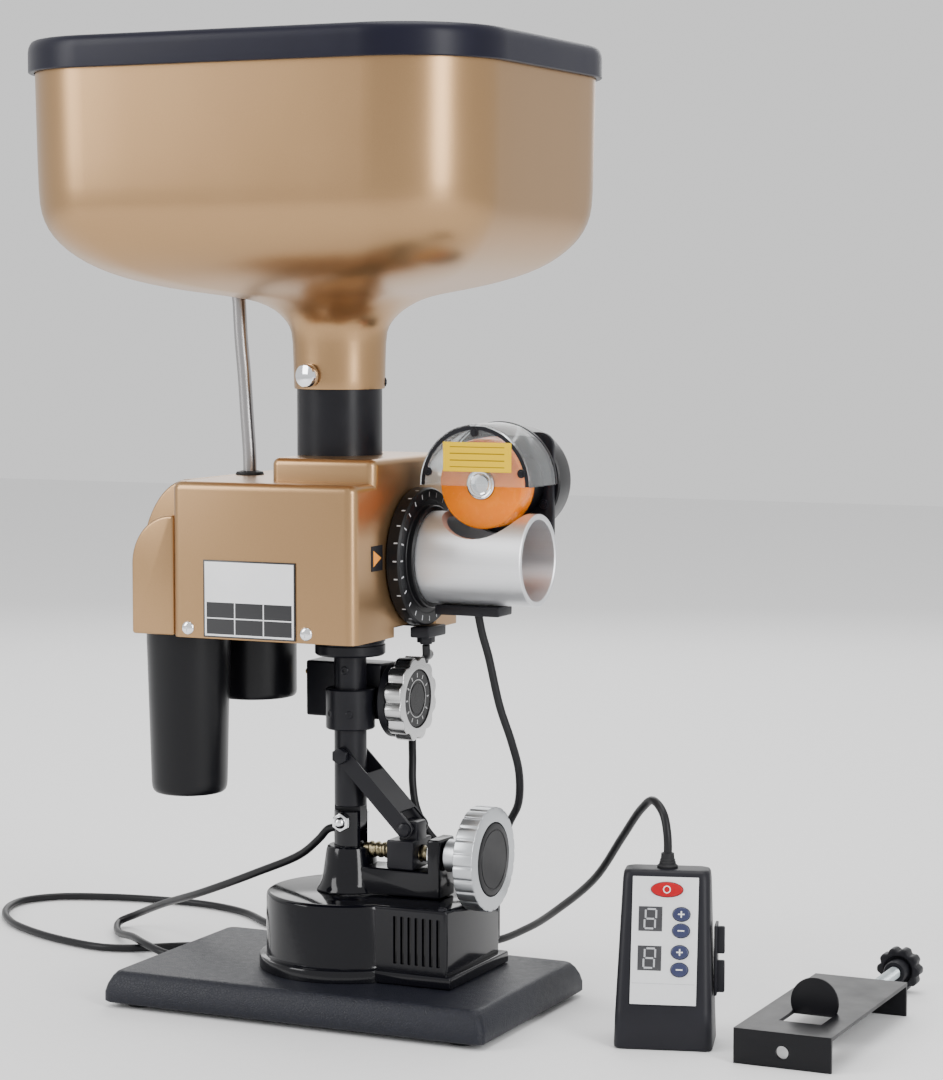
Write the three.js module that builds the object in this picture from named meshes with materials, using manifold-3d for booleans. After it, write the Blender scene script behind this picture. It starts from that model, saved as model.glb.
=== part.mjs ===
// Table-tennis ball machine: ball hopper on a feeding head, tilting mast on a base plate,
// a wired control box and a clamp for the edge of a table. Millimetres, +Z up, +X is the way
// the balls are thrown, origin on the floor under the mast.
import * as THREE from "three";
import { mergeVertices } from "three/addons/utils/BufferGeometryUtils.js";
import Module from "manifold-3d";

const wasm = await Module();
wasm.setup();

const GAP = 0.3;
const PLATE = { x: 115, y: 69, cy: -7, z0: 3, z1: 9, z2: 20, inset: 6 };
const TURRET = { r: 47, x: 75, y: 34, z0: 20.3, z1: 62, wall: 2.2, flange: 4, flangeTop: 27 };
const CONE = { r0: 19, r1: 13, z0: 62.3, z1: 87 };
const PIVOT_Z = 101;
const MAST = { r: 9, z0: 109, z1: 192.7, spigot: 6, top: 203 };
const SCREW = { z: 85.5, r: 4.5, x0: 9, x1: 74.5 };
const STRUT = { zTop: 138, x: 38, z: 99.5, half: 10.6 };
const SWEEP = { y: 18, z: 168, r: 23.5 };
const HEAD = { x0: -71, x1: 40, y0: -72.6, y1: 57, z0: 207, z1: 291, step: 303.5, wall: 2.2 };
const NECK_X = -6;
const BARREL = { z: 249, r: 25, bore: 22, x0: 36, x1: 113.6 };
const WHEEL = { x: 83.5, z: 289.5, r: 24, y: 9 };
const ROD = { x: -61, y: -3, r: 3.8 };
const BOX = { x: 198.5, y: -33.7, turn: 16.3, width: 51.5, top: 45.5, z1: 20.5, z2: 91, lean: 18, deep: 36 };
const CLAMP = { x0: 240, x1: 292, y0: -41, y1: 92, z: 18.5, t: 2, screwX: 272, screwZ: 12.8 };
const CORD = 2.25;

const COLOUR = {
  gold: [0xb48a5e, 0.32, 0.85],
  black_paint: [0x0b0b0e, 0.32, 0.1],
  black_cast: [0x0e0e12, 0.18, 0.0],
  black_plastic: [0x101014, 0.45, 0.0],
  rim_plastic: [0x10101c, 0.4, 0.0],
  grained: [0x0d0e14, 0.6, 0.0],
  rubber: [0x141414, 0.85, 0.0],
  aluminium: [0xc3c7cc, 0.3, 1.0],
  chrome: [0xd8dadd, 0.12, 1.0],
  steel: [0x8d8f86, 0.35, 1.0],
  brass: [0xb9854a, 0.3, 1.0],
  orange: [0xff7a08, 0.25, 0.0],
  clear: [0xe4ecee, 0.05, 0.0],
  label: [0xf2f2f4, 0.5, 0.0],
  silver_film: [0xc9cbce, 0.4, 0.2],
  red: [0xc81e22, 0.35, 0.0],
  blue: [0x38405e, 0.4, 0.0],
};

// ---------- solids ----------
const deg = (a) => (a * Math.PI) / 180;

function solid(geometry) {
  const g = geometry.clone();
  g.deleteAttribute("normal");
  g.deleteAttribute("uv");
  const m = mergeVertices(g, 1e-4);
  const mesh = new wasm.Mesh({
    numProp: 3,
    vertProperties: new Float32Array(m.attributes.position.array),
    triVerts: new Uint32Array(m.index.array),
  });
  return new wasm.Manifold(mesh);
}

function surface(m) {
  const mesh = m.getMesh();
  const g = new THREE.BufferGeometry();
  g.setAttribute("position", new THREE.BufferAttribute(new Float32Array(mesh.vertProperties), 3));
  g.setIndex(new THREE.BufferAttribute(new Uint32Array(mesh.triVerts), 1));
  const out = g.toNonIndexed();
  out.computeVertexNormals();
  return out;
}

function join(list) {
  return surface(list.map(solid).reduce((a, b) => a.add(b)));
}

function cut(base, list) {
  return surface(list.map(solid).reduce((a, b) => a.subtract(b), solid(base)));
}

function box(x0, x1, y0, y1, z0, z1) {
  const g = new THREE.BoxGeometry(x1 - x0, y1 - y0, z1 - z0);
  return g.translate((x0 + x1) / 2, (y0 + y1) / 2, (z0 + z1) / 2);
}

// A round bar between a0 and a1 along an axis; u and v are its centre in the other two axes.
function bar(axis, r, a0, a1, u, v, sides = 28, rEnd = r) {
  const g = new THREE.CylinderGeometry(rEnd, r, a1 - a0, sides);
  const mid = (a0 + a1) / 2;
  if (axis === "y") return g.translate(u, mid, v);
  if (axis === "z") return g.rotateX(Math.PI / 2).translate(u, v, mid);
  return g.rotateZ(-Math.PI / 2).translate(mid, u, v);
}

// A turned piece: profile of [radius, height] pairs about the Z axis.
function turned(profile, x = 0, y = 0, sides = 32) {
  const points = profile.map(([r, z]) => new THREE.Vector2(r, z));
  return new THREE.LatheGeometry(points, sides).rotateX(Math.PI / 2).translate(x, y, 0);
}

// A sheet outline in the XZ plane, given as [x, z] pairs, made thick from y0 to y1.
function slab(outline, y0, y1) {
  const shape = new THREE.Shape(outline.map(([x, z]) => new THREE.Vector2(x, z)));
  const g = new THREE.ExtrudeGeometry(shape, { depth: y1 - y0, bevelEnabled: false, curveSegments: 8 });
  return g.rotateX(Math.PI / 2).translate(0, y1, 0);
}

function cordTube(points, r, steps, sides = 8) {
  const curve = new THREE.CatmullRomCurve3(points.map((p) => new THREE.Vector3(...p)), false, "centripetal");
  const shape = new THREE.Shape();
  for (let i = 0; i < sides; i += 1) {
    const a = (i / sides) * 2 * Math.PI;
    const p = [r * Math.cos(a), r * Math.sin(a)];
    if (i === 0) shape.moveTo(...p);
    else shape.lineTo(...p);
  }
  return new THREE.ExtrudeGeometry(shape, { steps, bevelEnabled: false, extrudePath: curve });
}

// A level ring of points round a rectangle with rounded corners.
function ring(x0, x1, y0, y1, r, z, per = 6) {
  const corners = [
    [x1 - r, y1 - r, 0],
    [x0 + r, y1 - r, 90],
    [x0 + r, y0 + r, 180],
    [x1 - r, y0 + r, 270],
  ];
  const out = [];
  for (const [cx, cy, start] of corners) {
    for (let i = 0; i < per; i += 1) {
      const a = deg(start + (90 * i) / (per - 1));
      out.push([cx + r * Math.cos(a), cy + r * Math.sin(a), z]);
    }
  }
  return out;
}

// Skins a stack of rings. Closed: the last ring joins the first. Otherwise both ends are capped.
function loft(rings, closed = false) {
  const n = rings[0].length;
  const points = rings.flat();
  const index = [];
  const quad = (a, b) => {
    for (let i = 0; i < n; i += 1) {
      const j = (i + 1) % n;
      index.push(a + i, a + j, b + j, a + i, b + j, b + i);
    }
  };
  for (let k = 0; k + 1 < rings.length; k += 1) quad(k * n, (k + 1) * n);
  if (closed) quad((rings.length - 1) * n, 0);
  else {
    for (const [k, turn] of [[0, true], [rings.length - 1, false]]) {
      const c = points.length;
      const mean = [0, 1, 2].map((q) => rings[k].reduce((s, p) => s + p[q], 0) / n);
      points.push(mean);
      for (let i = 0; i < n; i += 1) {
        const j = (i + 1) % n;
        if (turn) index.push(c, k * n + j, k * n + i);
        else index.push(c, k * n + i, k * n + j);
      }
    }
  }
  const g = new THREE.BufferGeometry();
  g.setAttribute("position", new THREE.Float32BufferAttribute(points.flat(), 3));
  g.setAttribute("uv", new THREE.Float32BufferAttribute(new Float32Array(points.length * 2), 2));
  g.setIndex(index);
  const out = g.toNonIndexed();
  out.computeVertexNormals();
  return out;
}

// A rounded block: upright edges of radius r, top edge eased by e.
function block(x0, x1, y0, y1, z0, z1, r, e, per = 5) {
  const step = (d, z) => ring(x0 + d, x1 - d, y0 + d, y1 - d, Math.max(r - d, 0.4), z, per);
  return loft([step(0, z0), step(0, z1 - e), step(e * 0.3, z1 - e * 0.3), step(e, z1)]);
}

// ---------- assembly ----------
const machine = new THREE.Group();
machine.name = "tennis_ball_machine";

function add(name, geometry, finish) {
  const [color, roughness, metalness] = COLOUR[finish];
  const material = new THREE.MeshStandardMaterial({ color, roughness, metalness });
  material.name = finish;
  const mesh = new THREE.Mesh(geometry, material);
  mesh.name = name;
  machine.add(mesh);
}

// ---------- base ----------
function basePlate() {
  const { x, y, cy, z0, z1, z2, inset } = PLATE;
  const level = (d, z) => ring(-x + d, x - d, cy - y + d, cy + y - d, 4, z, 4);
  return loft([level(0, z0), level(0, z1), level(1.2, z1 + 4), level(3.2, z2 - 3), level(inset, z2)]);
}

function turretBody() {
  const { r, x, y, z0, z1, wall, flange, flangeTop } = TURRET;
  const outer = [
    bar("z", r, z0, z1 - 2, 0, 0, 48),
    bar("z", r, z1 - 2, z1, 0, 0, 48, r - 1.6),
    block(0, x, -y, y, z0, z1, 2, 2),
    bar("z", r + flange, z0, flangeTop, 0, 0, 48),
    block(0, x + flange, -y - flange, y + flange, z0, flangeTop, 2, 1),
  ];
  const inner = join([
    bar("z", r - wall, z0 - 5, z1 - wall, 0, 0, 48),
    box(0, x - wall, -y + wall, y - wall, z0 - 5, z1 - wall),
  ]);
  const vents = [];
  for (let i = 0; i < 7; i += 1) {
    const vx = 43 + i * 4.3;
    vents.push(box(vx, vx + 2.1, -y - 1, -y + 5, 31, 57));
  }
  return cut(join(outer), [inner, ...vents, bar("z", 6.4, z1 - 5, z1 + 5, 0, 0, 24)]);
}

function inletSocket() {
  const face = TURRET.y + GAP;
  const body = box(46, 72, face, face + 8, 32, 52);
  return cut(body, [box(50, 68, face + 2.5, face + 9, 35.5, 48.5)]);
}

// ---------- post, with the screw beam ----------
function postFrame() {
  const profile = [[0, CONE.z0], [CONE.r0, CONE.z0], [17.6, 65], [15.6, 71], [14.2, 78], [CONE.r1, CONE.z1]];
  const cone = turned([...profile, [0, CONE.z1]]);
  const post = bar("z", 9.25, CONE.z1 - 2, 106.8, 0, 0, 32);
  const journal = bar("z", 6, 52, CONE.z0 + 2, 0, 0, 24);
  const beam = box(8, 59, -10, 10, CONE.z0, 77);
  const upright = box(51.5, 59, -10, 10, CONE.z0, 95);
  const slot = box(-11, 11, -4.4, 4.4, 89.5, 108);
  const pin = bar("y", 3.2, -12, 12, 0, PIVOT_Z, 20);
  const bore = bar("x", SCREW.r + GAP, 7, 62, 0, SCREW.z, 24);
  return cut(join([cone, post, journal, beam, upright]), [slot, pin, bore]);
}

function pivotBolt() {
  const head = bar("y", 5.4, -13.4, -9.7, 0, PIVOT_Z, 6);
  const nut = bar("y", 5.4, 9.7, 13.4, 0, PIVOT_Z, 6);
  const dome = bar("y", 3.2, -16.2, -13.3, 0, PIVOT_Z, 16);
  return join([head, dome, bar("y", 2.9, -12, 12, 0, PIVOT_Z, 16), nut]);
}

function elevationKnob() {
  const lobes = 24;
  const shape = new THREE.Shape();
  for (let i = 0; i < lobes * 3; i += 1) {
    const a = (i / (lobes * 3)) * 2 * Math.PI;
    const r = 28.5 - (i % 3 === 0 ? 0.7 : 0);
    if (i === 0) shape.moveTo(r * Math.cos(a), r * Math.sin(a));
    else shape.lineTo(r * Math.cos(a), r * Math.sin(a));
  }
  const rim = new THREE.ExtrudeGeometry(shape, { depth: 11.5, bevelEnabled: false });
  rim.rotateY(Math.PI / 2).translate(75.5, 0, SCREW.z);
  const hub = bar("x", 9, 60.2, 76, 0, SCREW.z, 24);
  const pocket = bar("x", 20.3, 84.4, 88, 0, SCREW.z, 36);
  return cut(join([rim, hub]), [pocket, bar("x", SCREW.r + GAP, 60, 81, 0, SCREW.z, 24)]);
}

function sliderBlock() {
  const body = box(28, 44, -12, 12, 77.6, 93.6);
  const lug = box(32.5, 44, -6, 6, 93, 103.4);
  const bore = bar("x", SCREW.r + GAP, 27, 45, 0, SCREW.z, 24);
  return cut(join([body, lug]), [bore, bar("y", 2.7, -8, 8, STRUT.x, STRUT.z, 16)]);
}

// The strut is a channel: a top web between two cheeks that straddle the mast and the slider's lug.
function strutArm() {
  const { zTop, x, z, half } = STRUT;
  const along = new THREE.Vector2(x, z - zTop);
  const length = along.length();
  const slope = along.angle();
  const place = (g) => g.rotateY(-slope).translate(0, 0, zTop);
  const cheek = (s) => {
    const y0 = s > 0 ? 9.4 : -half;
    const parts = [box(0, length, y0, y0 + 1.2, -4.6, 4.6)];
    parts.push(bar("y", 4.6, y0, y0 + 1.2, 0, 0, 20), bar("y", 4.6, y0, y0 + 1.2, length, 0, 20));
    return join(parts);
  };
  const web = box(17, length - 9, -half, half, 3.2, 4.6);
  const lower = [-1, 1].map((s) => box(length - 12, length + 3, s > 0 ? 6.5 : -9.5, s > 0 ? 9.5 : -6.5, -4, 4));
  const holes = [bar("y", 3.7, -14, 14, 0, 0, 16), bar("y", 2.7, -14, 14, length, 0, 16)];
  return place(cut(join([cheek(-1), cheek(1), web, ...lower]), holes));
}

function mastPin() {
  return join([bar("y", 2.9, -12.4, 12.4, 0, STRUT.zTop, 16), bar("y", 4.8, -14.6, -10.9, 0, STRUT.zTop, 6)]);
}

function sliderPin() {
  return join([bar("y", 2.4, -12.2, 12.2, STRUT.x, STRUT.z, 14), bar("y", 4, -13.4, -10.9, STRUT.x, STRUT.z, 14)]);
}

// ---------- mast ----------
function mastTube() {
  const tongue = join([box(-8, 8, -4.1, 4.1, PIVOT_Z, 112), bar("y", 8, -4.1, 4.1, 0, PIVOT_Z, 28)]);
  const tube = bar("z", MAST.r, MAST.z0, MAST.z1, 0, 0, 32);
  const spigot = bar("z", MAST.spigot, MAST.z1 - 2, MAST.top, 0, 0, 24);
  const holes = [bar("y", 3.2, -12, 12, 0, PIVOT_Z, 16), bar("y", 3.2, -12, 12, 0, STRUT.zTop, 16)];
  return cut(join([tongue, tube, spigot]), holes);
}

function mastCollar() {
  return cut(bar("z", 13.6, 152, 174.5, 0, 0, 36), [
    bar("z", MAST.r + GAP, 150, 180, 0, 0, 32),
    box(-16, 16, 9.2, 16, 150, 180),
  ]);
}

function crossBlock() {
  const body = block(-33, 14, 9.7, 28, 156, 187, 1.5, 1);
  const boss = bar("x", 12, 13, 17, SWEEP.y, SWEEP.z, 28);
  return cut(join([body, boss]), [bar("x", 4.3, 2, 20, SWEEP.y, SWEEP.z, 20)]);
}

function sweepKnob() {
  const shape = new THREE.Shape();
  const lobes = 12;
  for (let i = 0; i < lobes * 6; i += 1) {
    const a = (i / (lobes * 6)) * 2 * Math.PI;
    const r = [SWEEP.r, SWEEP.r, SWEEP.r, SWEEP.r - 0.9, SWEEP.r - 2.1, SWEEP.r - 0.9][i % 6];
    if (i === 0) shape.moveTo(r * Math.cos(a), r * Math.sin(a));
    else shape.lineTo(r * Math.cos(a), r * Math.sin(a));
  }
  const rim = new THREE.ExtrudeGeometry(shape, { depth: 10, bevelEnabled: false });
  rim.rotateY(Math.PI / 2).translate(23, SWEEP.y, SWEEP.z);
  const shaft = bar("x", 4, 6, 24, SWEEP.y, SWEEP.z, 20);
  return cut(join([rim, shaft]), [bar("x", 16.3, 29.6, 35, SWEEP.y, SWEEP.z, 36)]);
}

function sweepDisc() {
  return cut(bar("x", 21, 17.4, 22.6, SWEEP.y, SWEEP.z - 1, 36), [bar("x", 4.4, 16, 24, SWEEP.y, SWEEP.z, 20)]);
}

// ---------- head ----------
function headBearing() {
  const disc = bar("z", 19.5, 193, 206.9, 0, 0, 40);
  return cut(disc, [bar("z", MAST.spigot + GAP, 190, MAST.top + GAP, 0, 0, 24)]);
}

function headTray() {
  const { x0, x1, y0, y1, wall } = HEAD;
  const d = wall + GAP;
  const plate = box(x0 + d, x1 - d, y0 + d, y1 - d, 207.2, 209.4);
  return cut(plate, [box(20, 40, -26, 26, 200, 220)]);
}

function headCover() {
  const { x0, x1, y0, y1, z0, z1, step, wall } = HEAD;
  const main = block(x0, x1, y0, y1, z0, z1, 6, 5);
  const raised = block(-22.6, x1, -49.3, 40, z1 - 10, step, 5, 3);
  const inner = join([
    box(x0 + wall, x1 - wall, y0 + wall, y1 - wall, z0 - 5, z1 - wall),
    box(-20.4, x1 - wall, -47, 37.8, z1 - 8, step - wall),
  ]);
  return cut(join([main, raised]), [
    inner,
    bar("x", BARREL.r + 0.5, 30, 50, 0, BARREL.z, 40),
    bar("z", 24, 284, 310, NECK_X, 0, 40),
    bar("z", 6.6, 280, 300, ROD.x, ROD.y, 28),
    box(30, 50, -26, 26, 200, 212.5),
  ]);
}

function rearCover(xBack, zArc, zTop, y0, y1) {
  const outline = (d) => {
    const points = [[HEAD.x0 - GAP - (d ? -1 : 0), 207 - d], [xBack + d, 207 - d], [xBack + d, zArc]];
    const rx = HEAD.x0 - 2 - xBack - d;
    for (let i = 1; i <= 8; i += 1) {
      const a = deg((90 * i) / 8);
      points.push([HEAD.x0 - 2 - rx * Math.cos(a), zArc + (zTop - d - zArc) * Math.sin(a)]);
    }
    points.push([HEAD.x0 - GAP - (d ? -1 : 0), zTop - d]);
    return points.reverse();
  };
  return cut(slab(outline(0), y0, y1), [slab(outline(2.2), y0 + 2.2, y1 - 2.2)]);
}

function labelPlate() {
  return box(-50.4, 5.4, HEAD.y0 - 1, HEAD.y0 - GAP, 207.9, 249.4);
}

function ballChannel() {
  const fall = bar("z", 23.4, 226, 297, NECK_X, 0, 36);
  const lead = bar("x", 23.4, NECK_X, 35.6, 0, BARREL.z, 36);
  const bores = [bar("z", 21.3, 230, 300, NECK_X, 0, 36), bar("x", 21.3, NECK_X, 40, 0, BARREL.z, 36)];
  return cut(join([fall, lead]), [...bores, box(-34, -24, -6, 6, 232, 272)]);
}

function feedSleeve() {
  const { bore } = BARREL;
  return cut(bar("z", 23.4, 297.4, 352, NECK_X, 0, 40), [bar("z", bore - 0.7, 290, 360, NECK_X, 0, 40)]);
}

// A six-pocket paddle wheel behind the ball channel; one paddle reaches in through the slot.
function feedRotor() {
  const parts = [bar("y", 7, -5, 5, -42, 252, 20)];
  for (let i = 0; i < 6; i += 1) {
    const g = box(0, 17, -4.5, 4.5, -1.4, 1.4);
    parts.push(g.rotateY(deg(60 * i)).translate(-42, 0, 252));
  }
  return cut(join(parts), [bar("y", 2.5, -8, 8, -42, 252, 12)]);
}

function longMotor() {
  return turned([[0, 118], [18.5, 118], [20.5, 119.6], [21.2, 124], [23, 200], [23, 206.9], [0, 206.9]], -77, -44, 36);
}

function shortMotor() {
  return turned([[0, 165.5], [21.5, 165.5], [23.5, 167.5], [23.5, 206.9], [0, 206.9]], -64.5, 8, 36);
}

function agitatorRod() {
  const path = [
    [ROD.x, ROD.y, 262],
    [ROD.x, ROD.y, 300],
    [ROD.x - 3, ROD.y, 345],
    [ROD.x - 6, ROD.y, 385],
    [ROD.x - 6.5, ROD.y, 394],
    [ROD.x - 4, ROD.y, 401],
    [ROD.x + 3, ROD.y + 0.5, 406],
    [ROD.x + 16, ROD.y + 1.5, 407],
    [ROD.x + 34, ROD.y + 2, 404],
  ];
  return cordTube(path, ROD.r, 20, 8);
}

function leadGland() {
  const body = block(40.6, 52, -8, 14, 205, 210.9, 1, 0.6);
  return join([body, bar("z", 5.2, 200.6, 205.5, 45, 3, 6)]);
}

// ---------- hopper ----------
// Each row is a level of the outside: height, back x, front x, half width, corner radius.
const BOWL = [
  [521, -154, 117.5, 110.7, 54],
  [443, -153, 116.5, 109.7, 54],
  [434, -152, 115.5, 108.7, 54],
  [425.6, -149, 112.5, 105.7, 52],
  [418, -144, 107.5, 100.7, 50],
  [411, -137, 100.5, 94, 48],
  [405, -128, 92, 86, 46],
  [400, -117, 81, 77, 45],
  [396, -104, 69, 67, 45],
  [393, -90, 57, 58, 45],
  [391, -75, 47, 52, 45],
  [389, -61, 41, 47, 44],
  [387, -49.5, 36, 42.4, 40],
  [382.6, -40.8, 28.8, 34.8, 34],
  [377.7, -35.9, 23.9, 29.9, 29.4],
  [373.6, -33, 21, 27, 26.5],
  [368, -31.3, 19.3, 25.3, 24.9],
  [339.5, -31, 19, 25, 24.6],
];

function hopperBowl() {
  const outer = BOWL.map(([z, a, b, y, r]) => ring(a, b, -y, y, r, z, 7));
  const skin = (i) => {
    if (i < 4) return [2, 0];
    if (i < 12) return [1.4, 1.8];
    if (i < 16) return [1.2, 0.8];
    return [1.2, 0];
  };
  const inner = BOWL.map(([z, a, b, y, r], i) => {
    const [d, up] = skin(i);
    return ring(a + d, b - d, -y + d, y - d, r - d, z + up, 7);
  });
  const shell = loft([...outer.reverse(), ...inner], true);
  return cut(shell, [bar("z", 7.4, 380, 402, ROD.x - 6.2, ROD.y, 24)]);
}

function hopperRim() {
  const [, a, b, y, r] = BOWL[0];
  const section = [
    [GAP, 509], [3.4, 509], [3.4, 519.5], [2.6, 523.4], [0.4, 526], [-3, 525.6], [-5, 522.5],
    [-5, 512], [-2.4, 512], [-2.4, 521.4], [GAP, 521.4],
  ];
  return loft(section.map(([d, z]) => ring(a - d, b + d, -y - d, y + d, r + d, z, 7)), true);
}

function lockStud() {
  const g = join([bar("y", 6.4, -31, -25.6, 0, 0, 24), bar("y", 5, -26, -25.4, 0, 0, 16)]);
  return g.rotateZ(deg(-11)).translate(NECK_X, 0, 347);
}

// ---------- launcher ----------
function dialRing() {
  const disc = bar("x", 37.5, 40.6, 48.6, 0, BARREL.z, 48);
  const collar = bar("x", 28, 48, 52, 0, BARREL.z, 40);
  return cut(join([disc, collar]), [bar("x", BARREL.r + GAP, 38, 55, 0, BARREL.z, 40)]);
}

function barrelTube() {
  const tube = bar("x", BARREL.r, BARREL.x0, BARREL.x1, 0, BARREL.z, 48);
  const bore = bar("x", BARREL.bore, BARREL.x0 - 2, BARREL.x1 + 2, 0, BARREL.z, 48);
  return cut(tube, [bore, bar("y", 28.5, -40, 40, WHEEL.x, WHEEL.z, 48)]);
}

function motorBracket() {
  const plate = block(-27, 27, -46, 27, 0, 3.6, 8, 0.8).rotateX(Math.PI / 2);
  plate.translate(WHEEL.x, 29, WHEEL.z);
  return cut(plate, [bar("y", 21.9, 20, 40, WHEEL.x, WHEEL.z, 40)]);
}

function launchMotor() {
  const can = bar("y", 21.5, 11.6, 62, WHEEL.x, WHEEL.z, 40);
  const drum = bar("y", 29.5, 29.3, 47, WHEEL.x, WHEEL.z, 48);
  const end = bar("y", 21.5, 62, 66, WHEEL.x, WHEEL.z, 40, 18.5);
  return join([can, drum, end]);
}

function frictionWheel() {
  const tyre = bar("y", WHEEL.r, -WHEEL.y, WHEEL.y, WHEEL.x, WHEEL.z, 48);
  return cut(tyre, [bar("y", 8.3, -12, 12, WHEEL.x, WHEEL.z, 28)]);
}

function wheelHub() {
  const core = bar("y", 8, -10.2, 11.2, WHEEL.x, WHEEL.z, 28);
  return cut(core, [bar("y", 4.4, -11, -7.6, WHEEL.x, WHEEL.z, 20)]);
}

function wheelGuard() {
  const shell = bar("y", 32.5, -17, 18, WHEEL.x, WHEEL.z, 56);
  const hollow = bar("y", 30.9, -15.4, 20, WHEEL.x, WHEEL.z, 56);
  const below = box(WHEEL.x - 40, WHEEL.x + 40, -20, 22, 240, WHEEL.z - 0.5);
  return cut(shell, [hollow, below]);
}

// ---------- control box ----------
// Built facing -Y with its front edge on the floor line, then turned and set down.
function setBox(g) {
  return g.rotateZ(deg(BOX.turn)).translate(BOX.x, BOX.y, 0);
}

const faceLean = Math.atan2(BOX.lean, BOX.z2 - BOX.z1);

// From sloping-face coordinates (across, up the slope, out) to the box.
function onFace(g, across, up) {
  g.rotateX(Math.PI / 2 - faceLean);
  const y = 0.8 + up * Math.sin(faceLean);
  const z = BOX.z1 + up * Math.cos(faceLean);
  return setBox(g.translate(across, y, z));
}

function controlShell() {
  const { width, top, z1, z2, lean, deep } = BOX;
  const level = (z, w, y0) => ring(-w / 2, w / 2, y0, deep, 2.5, z, 4);
  const widthAt = (z) => width + ((top - width) * z) / z2;
  const rows = [[0, 1], [1.5, 0], [z1 - 2, 0.2], [z1, 0.8]];
  const body = rows.map(([z, y]) => level(z, widthAt(z), y));
  const frontAt = (z) => 0.8 + (lean * (z - z1)) / (z2 - z1);
  body.push(level(z2 - 1.5, widthAt(z2 - 1.5), frontAt(z2 - 1.5)), level(z2, widthAt(z2) - 2, lean + 2));
  const pockets = BUTTONS.map((b) => onFace(button(b, 0.35, -2.8, 2), b.x, b.s));
  return cut(setBox(loft(body)), pockets);
}

const BUTTONS = [
  { name: "button_power", x: 0.8, s: 62.8, w: 16.6, h: 7.6, finish: "red" },
  { name: "button_speed_up", x: 8.6, s: 50.2, w: 9, h: 7.2, finish: "blue" },
  { name: "button_speed_down", x: 8.6, s: 41.7, w: 9, h: 7.2, finish: "blue" },
  { name: "button_rate_up", x: 8.2, s: 30.6, w: 9, h: 7.2, finish: "blue" },
  { name: "button_rate_down", x: 8.2, s: 21.6, w: 9, h: 7.2, finish: "blue" },
];

// An oval plug in face coordinates, w by h, from depth a to b along the face normal.
function button({ w, h }, grow, a, b) {
  const g = new THREE.CylinderGeometry(1, 1, b - a, 20).rotateX(Math.PI / 2);
  return g.scale(w / 2 + grow, h / 2 + grow, 1).translate(0, 0, (a + b) / 2);
}

function controlPanel() {
  const plate = block(-17.2, 17.2, -33, 33, GAP, 1.2, 2, 0.2, 4);
  const holes = BUTTONS.map((b) => button(b, 0.35, -2, 3).translate(b.x, b.s - 36.4, 0));
  return onFace(cut(plate, holes), 0, 36.4);
}

function boxHanger() {
  const side = BOX.width / 2 - 0.5;
  const tab = (z0, z1) => box(side, side + 5.4, 20, 23, z0, z1);
  return setBox(join([tab(27, 44), tab(47.5, 62), box(side, side + 1.6, 16, 30, 26, 63)]));
}

// ---------- table clamp ----------
function clampBracket() {
  const { x0, x1, y0, y1, z, t, screwX, screwZ } = CLAMP;
  const sheet = join([
    box(x0, x1, y0, y1, z - t, z),
    box(x0, x1, y0, y0 + t, 0.2, z),
    box(x0, x1, y1 - t, y1, 0.2, z),
  ]);
  const opening = cut(sheet, [
    box(256, 279, -17, 8, z - 4, z + 2),
    bar("y", 3.4, y0 - 2, y0 + 4, 266, 8.2, 20),
    bar("y", 3.9, y1 - 4, y1 + 2, screwX, screwZ, 20),
  ]);
  const tongue = cut(bar("y", 13, 7.4, 9.4, 267, z + 5, 28), [box(250, 290, 0, 20, -10, z - t)]);
  return join([opening, tongue]);
}

function clampScrew() {
  const thread = bar("y", 3.5, 75, 147, CLAMP.screwX, CLAMP.screwZ, 20);
  return join([thread, bar("y", 2.6, 71, 75.4, CLAMP.screwX, CLAMP.screwZ, 20)]);
}

function starKnob() {
  const shape = new THREE.Shape();
  for (let i = 0; i < 40; i += 1) {
    const a = (i / 40) * 2 * Math.PI;
    const r = [12.4, 12, 10.6, 10.6, 12][i % 5];
    if (i === 0) shape.moveTo(r * Math.cos(a), r * Math.sin(a));
    else shape.lineTo(r * Math.cos(a), r * Math.sin(a));
  }
  const star = new THREE.ExtrudeGeometry(shape, { depth: 9, bevelEnabled: false });
  star.rotateX(-Math.PI / 2).translate(CLAMP.screwX, 141, CLAMP.screwZ);
  const boss = bar("y", 6.5, 134, 141.5, CLAMP.screwX, CLAMP.screwZ, 20);
  return cut(join([star, boss]), [bar("y", 3.8, 130, 147.3, CLAMP.screwX, CLAMP.screwZ, 20)]);
}

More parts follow.
